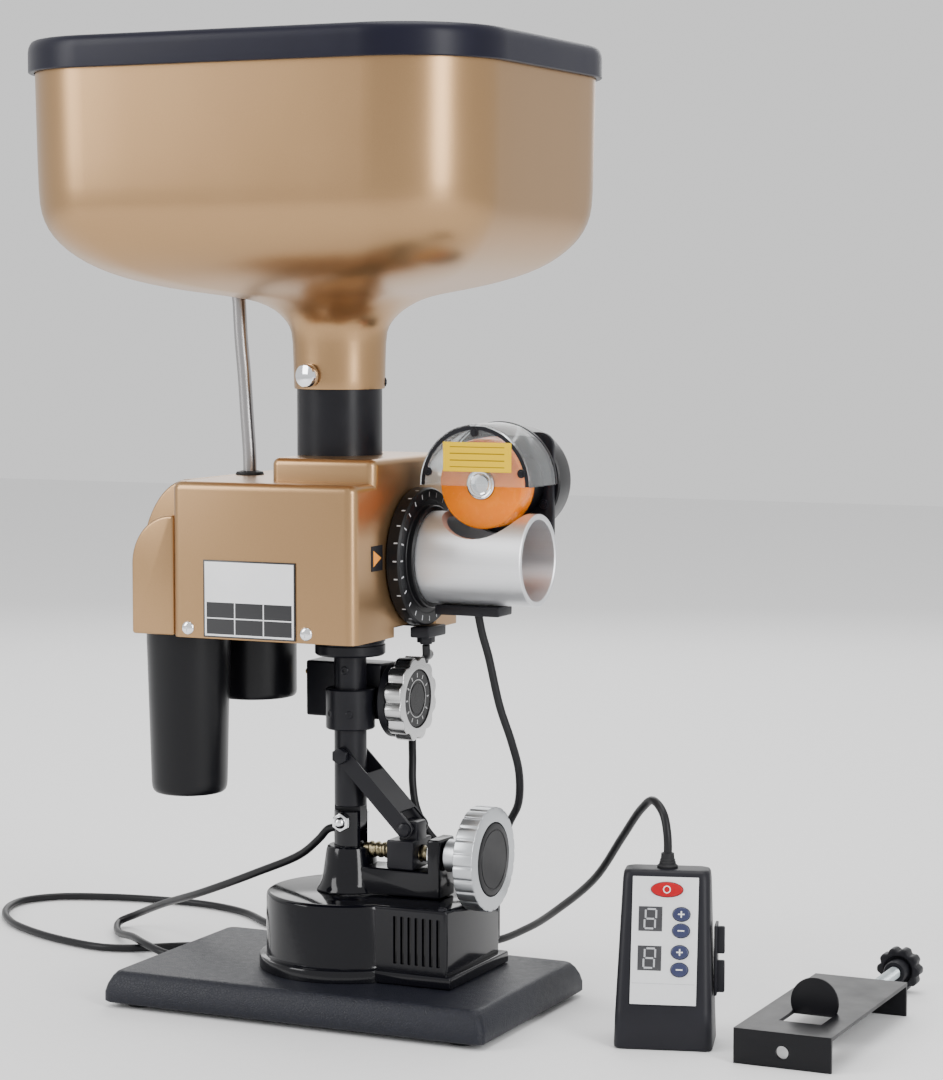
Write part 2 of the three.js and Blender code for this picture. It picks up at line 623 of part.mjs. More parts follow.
// ---------- cords ----------
const MOTOR_LEAD = [
  [78, 0, 218], [79.5, 1.5, 208], [82, 4, 196], [87, 8, 168], [92, 12, 149], [94, 18, 131], [91, 24, 113],
  [84, 29, 102], [77, 34, 92], [68, 37, 83], [56, 38, 78], [44, 36, 80], [33, 32, 90], [26, 30, 104],
  [23, 31, 118], [21, 35, 131], [18, 41, 144], [17, 47, 159], [20, 48, 174], [25, 43, 187],
  [31, 34, 191.5], [37, 24, 192.5], [42, 12, 193], [44.8, 4, 195], [45, 3, 199.9],
];
const BOX_CORD = [
  [-8.6, 0, 96], [-14, 0, 94.5], [-21, 2, 88], [-36, 8, 77], [-70, 18, 62], [-117, 40, 43], [-168, 78, 24],
  [-204, 104, 9], [-215, 104, 4], [-201, 79, 3.4], [-175, 54, 7.6], [-156, 39, 7.6], [-138, 33, 5],
  [-123, 40, 2.8], [-120, 54, 2.6], [-128, 67, 2.6], [-142, 68, 2.6], [-157, 58, 2.6], [-170, 48, 2.6],
  [-188, 42, 2.6], [-216, 47, 2.6], [-249, 60, 2.6], [-280, 80, 2.6], [-303, 109, 2.6], [-309, 135, 2.6],
  [-297, 155, 2.6], [-270, 168, 2.6], [-229, 176, 2.6], [-191, 175, 2.6], [-160, 164, 2.6],
  [-134, 144, 2.6], [-105, 126, 2.6], [-66, 118, 2.6], [-25, 126, 2.6], [20, 138, 6], [54, 118, 21],
  [88, 88, 42], [124, 56, 69], [150, 31, 98], [167.5, 14, 117], [177.5, 5, 123.6], [186.5, -3, 118.5],
  [190.5, -7, 107], [190.6, -7, 91.4],
];

add("base_plate", basePlate(), "grained");
for (const [i, [fx, fy]] of [[-98, -62], [98, -62], [-98, 48], [98, 48]].entries()) {
  add(`foot_${i + 1}`, turned([[0, 0], [8, 0], [8.6, 2.7], [0, 2.7]], fx, fy, 20), "rubber");
}
add("base_housing", turretBody(), "black_cast");
add("mains_inlet", inletSocket(), "black_plastic");
add("post_frame", postFrame(), "black_cast");
add("pivot_bolt", pivotBolt(), "chrome");
add("lead_screw", bar("x", SCREW.r, SCREW.x0, SCREW.x1, 0, SCREW.z, 20), "steel");
add("elevation_knob", elevationKnob(), "aluminium");
add("elevation_knob_cap", bar("x", 20, 84.7, 87.4, 0, SCREW.z, 32), "black_plastic");
add("slider_block", sliderBlock(), "black_paint");
add("strut", strutArm(), "black_paint");
add("strut_mast_pin", mastPin(), "black_paint");
add("strut_slider_pin", sliderPin(), "black_paint");
add("mast_tube", mastTube(), "black_paint");
add("mast_collar", mastCollar(), "black_paint");
add("cross_block", crossBlock(), "black_paint");
add("crank_pin", bar("x", 1.6, -36.2, -33.3, 16, 180, 14), "brass");
add("sweep_knob", sweepKnob(), "aluminium");
add("sweep_dial", bar("x", 16, 29.9, 32.4, SWEEP.y, SWEEP.z, 32), "black_plastic");
add("sweep_disc", sweepDisc(), "black_plastic");
add("head_bearing", headBearing(), "black_paint");
add("head_tray", headTray(), "black_paint");
add("head_cover", headCover(), "gold");
add("rear_cover_low", rearCover(-98, 245, 272, -69, -50.2), "gold");
add("rear_cover_high", rearCover(-104, 240, 290.6, -49.8, 50), "gold");
add("label_plate", labelPlate(), "label");
add("ball_channel", ballChannel(), "black_plastic");
add("feed_sleeve", feedSleeve(), "black_plastic");
add("feed_rotor", feedRotor(), "black_plastic");
add("feed_motor", longMotor(), "black_plastic");
add("sweep_motor", shortMotor(), "black_plastic");
add("agitator_rod", agitatorRod(), "chrome");
add("lead_gland", leadGland(), "black_plastic");
add("hopper_bowl", hopperBowl(), "gold");
add("hopper_rim", hopperRim(), "rim_plastic");
add("lock_stud", lockStud(), "chrome");
add("dial_ring", dialRing(), "black_plastic");
add("barrel", barrelTube(), "aluminium");
add("motor_bracket", motorBracket(), "black_paint");
add("launch_motor", launchMotor(), "black_plastic");
add("wheel_guard", wheelGuard(), "clear");
add("lead_block", block(56, 94, -9, 9, 218.4, 223.7, 1.5, 0.8), "black_plastic");
add("friction_wheel", frictionWheel(), "orange");
add("wheel_hub", wheelHub(), "chrome");
add("control_box", controlShell(), "black_plastic");
add("control_panel", controlPanel(), "silver_film");
for (const b of BUTTONS) add(b.name, onFace(button(b, 0, -1.4, 2.3), b.x, b.s), b.finish);
add("box_hanger", boxHanger(), "black_plastic");
add("clamp_bracket", clampBracket(), "black_paint");
add("clamp_screw", clampScrew(), "steel");
add("star_knob", starKnob(), "black_plastic");
add("motor_lead", cordTube(MOTOR_LEAD, CORD, 48, 6), "rubber");
add("box_cord", cordTube(BOX_CORD, CORD, 100, 6), "rubber");

export default machine;
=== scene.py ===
import math

import bpy
from mathutils import Euler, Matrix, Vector


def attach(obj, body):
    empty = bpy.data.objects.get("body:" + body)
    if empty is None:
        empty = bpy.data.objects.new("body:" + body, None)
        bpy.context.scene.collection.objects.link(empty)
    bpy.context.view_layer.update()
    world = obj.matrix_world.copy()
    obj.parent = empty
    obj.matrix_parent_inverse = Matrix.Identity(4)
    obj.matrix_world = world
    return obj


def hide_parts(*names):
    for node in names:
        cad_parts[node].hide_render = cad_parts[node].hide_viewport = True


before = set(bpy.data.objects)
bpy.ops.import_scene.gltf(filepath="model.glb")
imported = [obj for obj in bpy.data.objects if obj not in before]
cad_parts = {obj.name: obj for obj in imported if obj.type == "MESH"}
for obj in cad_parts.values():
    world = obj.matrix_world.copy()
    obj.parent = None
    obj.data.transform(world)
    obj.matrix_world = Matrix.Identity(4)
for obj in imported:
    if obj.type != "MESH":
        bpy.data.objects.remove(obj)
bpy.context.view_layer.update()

MM = 0.001
TURN = 2 * math.pi

# Points that several pieces turn about, in millimetres.
BARREL_AXIS = (0, 0, 249)
WHEEL_AXIS = (83.5, 0, 289.5)
SCREW_AXIS = (0, 0, 85.5)
CLAMP_AXIS = (272, 0, 12.8)

# How far each screw moves its nut in one turn, as in the joints.
ELEVATION_PITCH = 4.0
CLAMP_PITCH = 1.32


# ---------- camera ----------
def set_up_camera():
    bpy.ops.object.camera_add(location=(0.7326, -1.4128, 0.385))
    camera = bpy.context.object
    camera.name = "bench_camera"
    camera.rotation_euler = (math.radians(85.37), 0, math.radians(25.0))
    camera.data.lens = 96.67
    camera.data.sensor_width = 36
    camera.data.clip_start = 0.05
    bpy.context.scene.camera = camera


# ---------- shading ----------
class Wire:
    """A socket that can be added to, multiplied and compared in a Python expression."""

    def __init__(self, kit, socket):
        self.kit = kit
        self.socket = socket

    def _math(self, operation, *others):
        return self.kit.node("ShaderNodeMath", {"operation": operation}, self, *others)

    def __add__(self, other):
        return self._math("ADD", other)

    __radd__ = __add__

    def __sub__(self, other):
        return self._math("SUBTRACT", other)

    def __rsub__(self, other):
        return self.kit.node("ShaderNodeMath", {"operation": "SUBTRACT"}, other, self)

    def __mul__(self, other):
        return self._math("MULTIPLY", other)

    __rmul__ = __mul__

    def __truediv__(self, other):
        return self._math("DIVIDE", other)

    def __pow__(self, other):
        return self._math("POWER", other)

    def above(self, other):
        return self._math("GREATER_THAN", other)

    def below(self, other):
        return self._math("LESS_THAN", other)

    def between(self, low, high):
        return self.above(low) * self.below(high)

    def size(self):
        return self._math("ABSOLUTE")

    def cycle(self, length):
        return self._math("FLOORED_MODULO", length)

    def either(self, other):
        return self._math("MAXIMUM", other)

    def clamp(self):
        return self.kit.node("ShaderNodeClamp", {}, self)


class Finish:
    """A material under construction: one principled surface and the nodes that feed it."""

    def __init__(self, name, colour, roughness=0.5, metallic=0.0, **fixed):
        self.material = bpy.data.materials.new(name)
        self.material.use_nodes = True
        self.tree = self.material.node_tree
        self.surface = self.tree.nodes["Principled BSDF"]
        self.set("Base Color", (*colour, 1) if len(colour) == 3 else colour)
        self.set("Roughness", roughness)
        self.set("Metallic", metallic)
        for socket, value in fixed.items():
            self.set(socket.replace("_", " "), value)
        coordinates = self.tree.nodes.new("ShaderNodeTexCoord")
        self.place = Wire(self, coordinates.outputs["Object"])
        self.material.diffuse_color = self.surface.inputs["Base Color"].default_value

    def node(self, kind, settings, *inputs, out=0, **named):
        made = self.tree.nodes.new(kind)
        for key, value in settings.items():
            if key == "stops":
                ramp = made.color_ramp
                while len(ramp.elements) < len(value):
                    ramp.elements.new(0.5)
                for stop, (where, grey) in zip(ramp.elements, value):
                    stop.position = where
                    stop.color = (grey, grey, grey, 1)
            else:
                setattr(made, key, value)
        pairs = list(zip(made.inputs, inputs))
        pairs += [(made.inputs[key], value) for key, value in named.items()]
        for socket, value in pairs:
            if isinstance(value, Wire):
                self.tree.links.new(value.socket, socket)
            elif value is not None:
                socket.default_value = value
        return Wire(self, made.outputs[out])

    def set(self, socket, value):
        target = self.surface.inputs[socket]
        if isinstance(value, Wire):
            self.tree.links.new(value.socket, target)
        else:
            target.default_value = value

    def stretched(self, x, y, z):
        return self.node("ShaderNodeMapping", {}, self.place, Scale=(x, y, z))

    def centred(self, x, y, z, turn=(0, 0, 0)):
        moved = self.node("ShaderNodeVectorMath", {"operation": "SUBTRACT"}, self.place,
                          Vector((x, y, z)) * MM)
        if any(turn):
            moved = self.node("ShaderNodeMapping", {"vector_type": "TEXTURE"}, moved, Rotation=turn)
        return moved

    def parts(self, vector):
        split = self.tree.nodes.new("ShaderNodeSeparateXYZ")
        self.tree.links.new(vector.socket, split.inputs[0])
        return [Wire(self, split.outputs[i]) for i in range(3)]

    def noise(self, scale, detail=3.0, vector=None, roughness=0.55):
        return self.node("ShaderNodeTexNoise", {}, Vector=vector or self.place, Scale=scale,
                         Detail=detail, Roughness=roughness)

    def mix(self, factor, first, second):
        pad = [c if isinstance(c, Wire) or len(c) == 4 else (*c, 1) for c in (first, second)]
        made = self.tree.nodes.new("ShaderNodeMix")
        made.data_type = "RGBA"
        ends = [made.inputs["Factor"], made.inputs[6], made.inputs[7]]
        for socket, value in zip(ends, [factor, *pad]):
            if isinstance(value, Wire):
                self.tree.links.new(value.socket, socket)
            else:
                socket.default_value = value
        return Wire(self, made.outputs[2])

    def bump(self, height, strength, distance=0.0003):
        self.set("Normal", self.node("ShaderNodeBump", {}, Height=height, Strength=strength,
                                     Distance=distance))

    def shade(self, low, high, wave):
        return low + wave * (high - low)


def gold_paint():
    f = Finish("satin_gold_paint", (0.42, 0.235, 0.105), 0.3, 0.9)
    cloud = f.noise(9, 2)
    flake = f.noise(2600, 1)
    f.set("Base Color", f.mix(cloud * 0.5 + flake * 0.5, (0.34, 0.200, 0.092), (0.46, 0.285, 0.145)))
    f.set("Roughness", f.shade(0.24, 0.38, flake * 0.6 + cloud * 0.4))
    f.bump(flake, 0.12, 0.00005)
    return f.material


def gloss_enamel():
    f = Finish("gloss_black_enamel", (0.003, 0.003, 0.005), 0.09, 0.0, Specular_IOR_Level=0.32)
    ripple = f.noise(260, 2)
    f.set("Roughness", f.shade(0.06, 0.16, f.noise(40, 3)))
    f.bump(ripple, 0.07, 0.0002)
    return f.material


def satin_black(name="satin_black_paint", rough=0.3, tint=(0.005, 0.005, 0.007)):
    f = Finish(name, tint, rough, 0.0, Specular_IOR_Level=0.24)
    dust = f.noise(70, 4)
    lighter = tuple(c * 1.9 for c in tint)
    f.set("Base Color", f.mix(dust, tint, lighter))
    f.set("Roughness", f.shade(rough - 0.06, rough + 0.12, dust))
    f.bump(f.noise(900, 2), 0.1, 0.00008)
    return f.material


def moulded_black(name="moulded_black_plastic", rough=0.42, tint=(0.006, 0.006, 0.008)):
    f = Finish(name, tint, rough, 0.0, Specular_IOR_Level=0.24)
    sparkle = f.node("ShaderNodeTexVoronoi", {}, Vector=f.place, Scale=2400)
    haze = f.noise(30, 3)
    f.set("Base Color", f.mix(haze, tint, tuple(c * 1.6 for c in tint)))
    f.set("Roughness", f.shade(rough - 0.05, rough + 0.1, haze))
    f.bump(sparkle, 0.18, 0.00006)
    return f.material


def leather_grain():
    f = Finish("leather_grain_black", (0.006, 0.007, 0.011), 0.42, 0.0, Specular_IOR_Level=0.3)
    cells = f.node("ShaderNodeTexVoronoi", {"feature": "DISTANCE_TO_EDGE"}, Vector=f.place, Scale=620)
    fold = f.noise(240, 4)
    height = f.node("ShaderNodeMath", {"operation": "MINIMUM"}, cells * 4, 0.6) + fold * 0.35
    f.set("Base Color", f.mix(fold, (0.005, 0.006, 0.010), (0.013, 0.014, 0.022)))
    f.set("Roughness", f.shade(0.34, 0.56, fold))
    f.bump(height, 0.42, 0.0004)
    return f.material


def brushed(name, colour, along, rough=0.26):
    f = Finish(name, colour, rough, 1.0)
    scale = [1500, 1500, 1500]
    scale["xyz".index(along)] = 12
    hair = f.noise(1, 3, f.stretched(*scale))
    f.set("Base Color", f.mix(hair, tuple(c * 0.93 for c in colour), tuple(min(1, c * 1.04) for c in colour)))
    f.set("Roughness", f.shade(rough - 0.04, rough + 0.06, hair))
    f.bump(hair, 0.05, 0.00003)
    return f.material


def turned_face(name, colour, centre, rough=0.2):
    """Metal faced on a lathe: fine rings about the X axis."""
    f = Finish(name, colour, rough, 1.0)
    x, y, z = f.parts(f.centred(*centre))
    radius = (y * y + z * z) ** 0.5
    rings = f.node("ShaderNodeTexNoise", {"noise_dimensions": "1D"}, W=radius * 1, Scale=2600, Detail=2)
    f.set("Base Color", f.mix(rings, tuple(c * 0.8 for c in colour), colour))
    f.set("Roughness", f.shade(rough - 0.06, rough + 0.14, rings))
    f.bump(rings, 0.12, 0.00006)
    return f.material


def bright_chrome():
    f = Finish("bright_chrome", (0.86, 0.87, 0.89), 0.06, 1.0)
    smear = f.noise(60, 4)
    f.set("Roughness", f.shade(0.03, 0.13, smear))
    f.set("Base Color", f.mix(smear, (0.78, 0.79, 0.81), (0.92, 0.93, 0.95)))
    return f.material


def zinc_plate(name="yellow_zinc", low=(0.17, 0.15, 0.10), high=(0.38, 0.32, 0.19)):
    f = Finish(name, high, 0.28, 1.0)
    stain = f.noise(120, 4)
    f.set("Base Color", f.mix(stain, low, high))
    f.set("Roughness", f.shade(0.2, 0.42, stain))
    return f.material


def turned_brass():
    f = Finish("turned_brass", (0.62, 0.42, 0.16), 0.22, 1.0)
    line = f.noise(1, 2, f.stretched(2400, 40, 40))
    f.set("Roughness", f.shade(0.15, 0.35, line))
    f.set("Base Color", f.mix(line, (0.52, 0.34, 0.12), (0.72, 0.50, 0.22)))
    return f.material


def cast_polyurethane():
    f = Finish("orange_polyurethane", (1.0, 0.22, 0.01), 0.22, 0.0, IOR=1.45, Subsurface_Weight=0.3,
               Subsurface_Scale=0.008, Subsurface_Radius=(1.0, 0.3, 0.02), Specular_IOR_Level=0.25)
    wear = f.noise(220, 3)
    f.set("Base Color", f.mix(wear, (0.80, 0.17, 0.0), (0.92, 0.25, 0.0)))
    f.set("Roughness", f.shade(0.16, 0.36, wear))
    f.bump(wear, 0.08, 0.0001)
    return f.material


def clear_acrylic():
    f = Finish("clear_acrylic", (0.93, 0.96, 0.97), 0.03, 0.0, Transmission_Weight=0.94, IOR=1.2)
    f.set("Roughness", f.shade(0.02, 0.09, f.noise(90, 3)))
    return f.material


def plain(name, colour, rough=0.4, spread=0.12, metallic=0.0, **fixed):
    f = Finish(name, colour, rough, metallic, **fixed)
    mottle = f.noise(400, 3)
    f.set("Base Color", f.mix(mottle, tuple(c * (1 - spread) for c in colour),
                              tuple(min(1, c * (1 + spread)) for c in colour)))
    f.set("Roughness", f.shade(rough - 0.05, rough + 0.1, mottle))
    f.bump(mottle, 0.05, 0.00005)
    return f.material


def dial_marks():
    """Black ring with white ticks round its face and its edge."""
    f = Finish("dial_black_with_ticks", (0.005, 0.005, 0.006), 0.38, Specular_IOR_Level=0.24)
    x, y, z = f.parts(f.centred(*BARREL_AXIS))
    radius = (y * y + z * z) ** 0.5
    turn = f.node("ShaderNodeMath", {"operation": "ARCTAN2"}, z, y) * (1 / TURN)
    near = ((turn * 24 + 0.5).cycle(1) - 0.5).size() * radius * (TURN / 24)
    on_face = radius.between(0.0325, 0.0352) * x.above(0.0480)
    on_edge = radius.above(0.0368) * x.between(0.0450, 0.0472)
    tick = near.below(0.00036) * on_face.either(on_edge)
    haze = f.noise(40, 3)
    f.set("Base Color", f.mix(tick, (0.005, 0.005, 0.006), (0.55, 0.56, 0.58)))
    f.set("Roughness", f.shade(0.32, 0.46, haze))
    f.bump(f.noise(1400, 1), 0.1, 0.00006)
    return f.material


def knob_dial():
    f = Finish("knob_dial_black", (0.004, 0.004, 0.005), 0.25, Specular_IOR_Level=0.2)
    x, y, z = f.parts(f.centred(0, 18, 168))
    radius = (y * y + z * z) ** 0.5
    turn = f.node("ShaderNodeMath", {"operation": "ARCTAN2"}, z, y) * (1 / TURN)
    near = ((turn * 12 + 0.5).cycle(1) - 0.5).size() * radius * (TURN / 12)
    tick = near.below(0.0004) * radius.between(0.0118, 0.0142)
    line = (radius - 0.0104).size().below(0.00022)
    mark = tick.either(line)
    f.set("Base Color", f.mix(mark, (0.004, 0.004, 0.005), (0.40, 0.40, 0.40)))
    f.set("Roughness", f.shade(0.18, 0.34, f.noise(90, 3)))
    return f.material


def rating_label():
    """White film with a dark table of blank cells along its foot."""
    f = Finish("rating_label_film", (0.8, 0.8, 0.8), 0.35)
    x, y, z = f.parts(f.centred(-22.5, 0, 228.6))
    table = z.below(-0.0015) * z.above(-0.0192) * x.size().below(0.0262)
    rule = ((x / 0.01747).cycle(1) - 0.5).size().below(0.018)
    rule = rule.either((((z + 0.0015) / 0.00885 + 0.5).cycle(1) - 0.5).size().below(0.035))
    border = (x.size().above(0.0270)).either(z.size().above(0.0199))
    dark = border.either(table * (1 - rule))
    paper = f.mix(f.noise(60, 2), (0.74, 0.75, 0.77), (0.86, 0.86, 0.87))
    f.set("Base Color", f.mix(dark, paper, (0.016, 0.016, 0.018)))
    f.set("Roughness", f.shade(0.28, 0.4, f.noise(300, 2)))
    return f.material


def ruled_sticker():
    """Yellow film with three plain grey rules and no lettering."""
    f = Finish("yellow_sticker", (0.80, 0.52, 0.0), 0.4, Specular_IOR_Level=0.15)
    x, y, z = f.parts(f.centred(85, 0, 304.5))
    rules = ((z / 0.0036).cycle(1) - 0.5).size().below(0.1) * z.size().below(0.0056) * x.size().below(0.016)
    f.set("Base Color", f.mix(rules, (0.80, 0.52, 0.0), (0.32, 0.20, 0.0)))
    f.set("Roughness", f.shade(0.28, 0.42, f.noise(300, 2)))
    return f.material


def pale_floor():
    f = Finish("pale_floor", (0.86, 0.86, 0.86), 0.75)
    grain = f.noise(140, 3)
    f.set("Base Color", f.mix(grain, (0.84, 0.84, 0.845), (0.88, 0.88, 0.88)))
    return f.material


# ---------- bench tools ----------
AXES = {"x": Euler((0, math.pi / 2, 0)), "y": Euler((-math.pi / 2, 0, 0)), "z": Euler((0, 0, 0))}


def clear_bench():
    if bpy.context.object and bpy.context.object.mode != "OBJECT":
        bpy.ops.object.mode_set(mode="OBJECT")
    bpy.ops.object.select_all(action="DESELECT")


def pick(*pieces):
    clear_bench()
    for piece in pieces:
        piece.select_set(True)
    bpy.context.view_layer.objects.active = pieces[0]


def label(name):
    piece = bpy.context.object
    piece.name = piece.data.name = name
    return piece


def settle(piece):
    pick(piece)
    bpy.ops.object.transform_apply(location=True, rotation=True, scale=True)
    return piece


def put(piece, x=0, y=0, z=0, turn=None):
    piece.location = Vector((x, y, z)) * MM
    if turn:
        piece.rotation_euler = turn
    return settle(piece)


def tidy_faces(piece, outward=True):
    pick(piece)
    bpy.ops.object.mode_set(mode="EDIT")
    bpy.ops.mesh.select_all(action="SELECT")
    bpy.ops.mesh.remove_doubles(threshold=0.00001)
    if outward:
        bpy.ops.mesh.normals_make_consistent(inside=False)
    bpy.ops.object.mode_set(mode="OBJECT")
    return piece


def trace(name, points, close=False):
    """Draws a line of edges through points, starting from one vertex."""
    clear_bench()
    bpy.ops.mesh.primitive_plane_add(size=MM)
    piece = label(name)
    bpy.ops.object.mode_set(mode="EDIT")
    bpy.ops.mesh.select_mode(type="VERT")
    bpy.ops.mesh.merge(type="CENTER")
    spots = [Vector(p) * MM for p in points]
    bpy.ops.transform.translate(value=spots[0])
    for here, there in zip(spots, spots[1:]):
        bpy.ops.mesh.extrude_vertices_move(TRANSFORM_OT_translate={"value": there - here})
    if close:
        bpy.ops.mesh.select_all(action="SELECT")
        bpy.ops.mesh.edge_face_add()
    return piece


def turned(name, axis, centre, outline, steps=72, angle=TURN):
    """Spins an outline of (radius, height) pairs about an axis through centre."""
    piece = trace(name, [(r, 0, a) for r, a in outline])
    bpy.ops.mesh.select_all(action="SELECT")
    bpy.ops.mesh.spin(steps=steps, angle=angle, center=(0, 0, 0), axis=(0, 0, 1))
    bpy.ops.object.mode_set(mode="OBJECT")
    tidy_faces(piece)
    return put(piece, *centre, turn=AXES[axis])


def finish_with(piece, kind, **settings):
    pick(piece)
    modifier = piece.modifiers.new(kind.lower(), kind)
    for key, value in settings.items():
        setattr(modifier, key, value)
    bpy.ops.object.modifier_apply(modifier=modifier.name)
    return piece


def ease(piece, width, segments=3, angle=32):
    return finish_with(piece, "BEVEL", width=width * MM, segments=segments, limit_method="ANGLE",
                       angle_limit=math.radians(angle), use_clamp_overlap=True)


def carve(piece, *cutters, operation="DIFFERENCE"):
    for cutter in cutters:
        finish_with(piece, "BOOLEAN", operation=operation, solver="EXACT", object=cutter)
        bpy.data.objects.remove(cutter)
    return piece


def weld(piece, *others):
    return carve(piece, *others, operation="UNION")


def gather(name, *pieces):
    pick(*pieces)
    bpy.ops.object.join()
    return label(name)


def block(name, x0, x1, y0, y1, z0, z1, edge=0.0, segments=3):
    clear_bench()
    centre = Vector(((x0 + x1) / 2, (y0 + y1) / 2, (z0 + z1) / 2)) * MM
    bpy.ops.mesh.primitive_cube_add(size=1, location=centre)
    piece = label(name)
    piece.scale = Vector((x1 - x0, y1 - y0, z1 - z0)) * MM
    settle(piece)
    return ease(piece, edge, segments) if edge else piece


def rod(name, axis, r, a0, a1, centre, sides=64, edge=0.0):
    clear_bench()
    bpy.ops.mesh.primitive_cylinder_add(vertices=sides, radius=r * MM, depth=(a1 - a0) * MM,
                                        location=(0, 0, (a0 + a1) / 2 * MM))
    piece = label(name)
    settle(piece)
    put(piece, *centre, turn=AXES[axis])
    return ease(piece, edge, 3, 50) if edge else piece


def level(x0, x1, y0, y1, r, z, segments):
    """A level loop of edges round a rectangle with rounded corners."""
    bpy.ops.mesh.primitive_plane_add(size=1, location=(0, 0, 0))
    loop = bpy.context.object
    loop.scale = ((x1 - x0) * MM, (y1 - y0) * MM, 1)
    loop.location = Vector(((x0 + x1) / 2, (y0 + y1) / 2, z)) * MM
    settle(loop)
    bpy.ops.object.mode_set(mode="EDIT")
    bpy.ops.mesh.select_all(action="SELECT")
    bpy.ops.mesh.bevel(offset=r * MM, offset_type="OFFSET", segments=segments, affect="VERTICES",
                       clamp_overlap=False)
    bpy.ops.mesh.select_all(action="SELECT")
    bpy.ops.mesh.delete(type="ONLY_FACE")
    bpy.ops.object.mode_set(mode="OBJECT")
    return loop


def skinned(name, levels, segments=12, bottom=True, top=True, join_ends=False):
    """Bridges a stack of level loops, each (x0, x1, y0, y1, r, z), from the first to the last."""
    clear_bench()
    loops = [level(*row, segments) for row in levels]
    count = len(loops[0].data.vertices)
    piece = gather(name, *loops)
    bpy.ops.object.mode_set(mode="EDIT")
    bpy.ops.mesh.select_mode(type="VERT")
    pairs = [(i, i + 1) for i in range(len(levels) - 1)]
    if join_ends:
        pairs.append((len(levels) - 1, 0))
    ends = [i for i, keep in ((0, bottom), (len(levels) - 1, top)) if keep]
    for chosen in [*pairs, *[(i,) for i in ends]]:
        bpy.ops.mesh.select_all(action="DESELECT")
        bpy.ops.object.mode_set(mode="OBJECT")
        for i in chosen:
            for vertex in piece.data.vertices[i * count:(i + 1) * count]:
                vertex.select = True
        bpy.ops.object.mode_set(mode="EDIT")
        if len(chosen) == 2:
            bpy.ops.mesh.bridge_edge_loops()
        elif not join_ends:
            bpy.ops.mesh.edge_face_add()
    bpy.ops.object.mode_set(mode="OBJECT")
    return tidy_faces(piece)


def lobed(name, axis, centre, lobes, r, dip, a0, a1, edge, pocket=None, shares=(1.0, 0.72, 0.22)):
    """A grip wheel: a disc whose rim is drawn in at each valley, with an optional pocket (r, deep)."""
    clear_bench()
    per = 8
    bpy.ops.mesh.primitive_circle_add(vertices=lobes * per, radius=r * MM, fill_type="NGON",
                                      location=(0, 0, a0 * MM))
    piece = label(name)
    settle(piece)
    for phases, share in zip(((0,), (1, per - 1), (2, per - 2)), shares):
        bpy.ops.object.mode_set(mode="EDIT")
        bpy.ops.mesh.select_mode(type="VERT")
        bpy.ops.mesh.select_all(action="DESELECT")
        bpy.ops.object.mode_set(mode="OBJECT")
        for vertex in piece.data.vertices:
            vertex.select = vertex.index % per in phases
        bpy.ops.object.mode_set(mode="EDIT")
        k = 1 - dip * share / r
        bpy.ops.transform.resize(value=(k, k, 1), center_override=(0, 0, 0))
    bpy.ops.mesh.select_all(action="SELECT")
    bpy.ops.mesh.extrude_region_move(TRANSFORM_OT_translate={"value": (0, 0, (a1 - a0) * MM)})
    bpy.ops.mesh.select_all(action="SELECT")
    bpy.ops.mesh.normals_make_consistent(inside=False)
    bpy.ops.object.mode_set(mode="OBJECT")
    ease(piece, edge, 3, 60)
    if pocket:
        r_in, deep = pocket
        cutter = rod("cutter", "z", r_in, a1 - deep, a1 + 3, (0, 0, 0), 96)
        carve(piece, cutter)
    return put(piece, *centre, turn=AXES[axis])


def threaded(name, axis, centre, core, crest, pitch, a0, a1, steps=36):
    """A screw thread: one tooth's outline swept round and along by the Screw modifier."""
    tooth = [(core, 0), (core, 0.12), (crest, 0.38), (crest, 0.62), (core, 0.88), (core, 1.0)]
    piece = trace(name, [(r, 0, k * pitch) for r, k in tooth])
    bpy.ops.object.mode_set(mode="OBJECT")
    turns = max(1, round((a1 - a0) / pitch) - 1)
    finish_with(piece, "SCREW", axis="Z", angle=TURN, screw_offset=pitch * MM, iterations=turns,
                steps=steps, render_steps=steps, use_merge_vertices=True, merge_threshold=0.00001)
    put(piece, 0, 0, a0)
    bar = turned(name + "_core", "z", (0, 0, 0), [(0, a0), (core * 0.93, a0), (core + 0.02, a0 + 0.5),
                                                  (core + 0.02, a1 - 0.5), (core * 0.93, a1), (0, a1)], 36)
    piece = gather(name, piece, bar)
    return put(piece, *centre, turn=AXES[axis])


def smooth(piece, angle=35):
    pick(piece)
    bpy.ops.object.shade_smooth_by_angle(angle=math.radians(angle))
    return piece


def dress(piece, finish):
    piece.data.materials.clear()
    piece.data.materials.append(finish)
    return piece


def fit(piece, node, body, finish, angle=35):
    """Puts a finished piece on its body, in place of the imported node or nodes."""
    smooth(piece, angle)
    dress(piece, finish)
    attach(piece, body)
    if node:
        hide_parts(*([node] if isinstance(node, str) else node))
    return piece


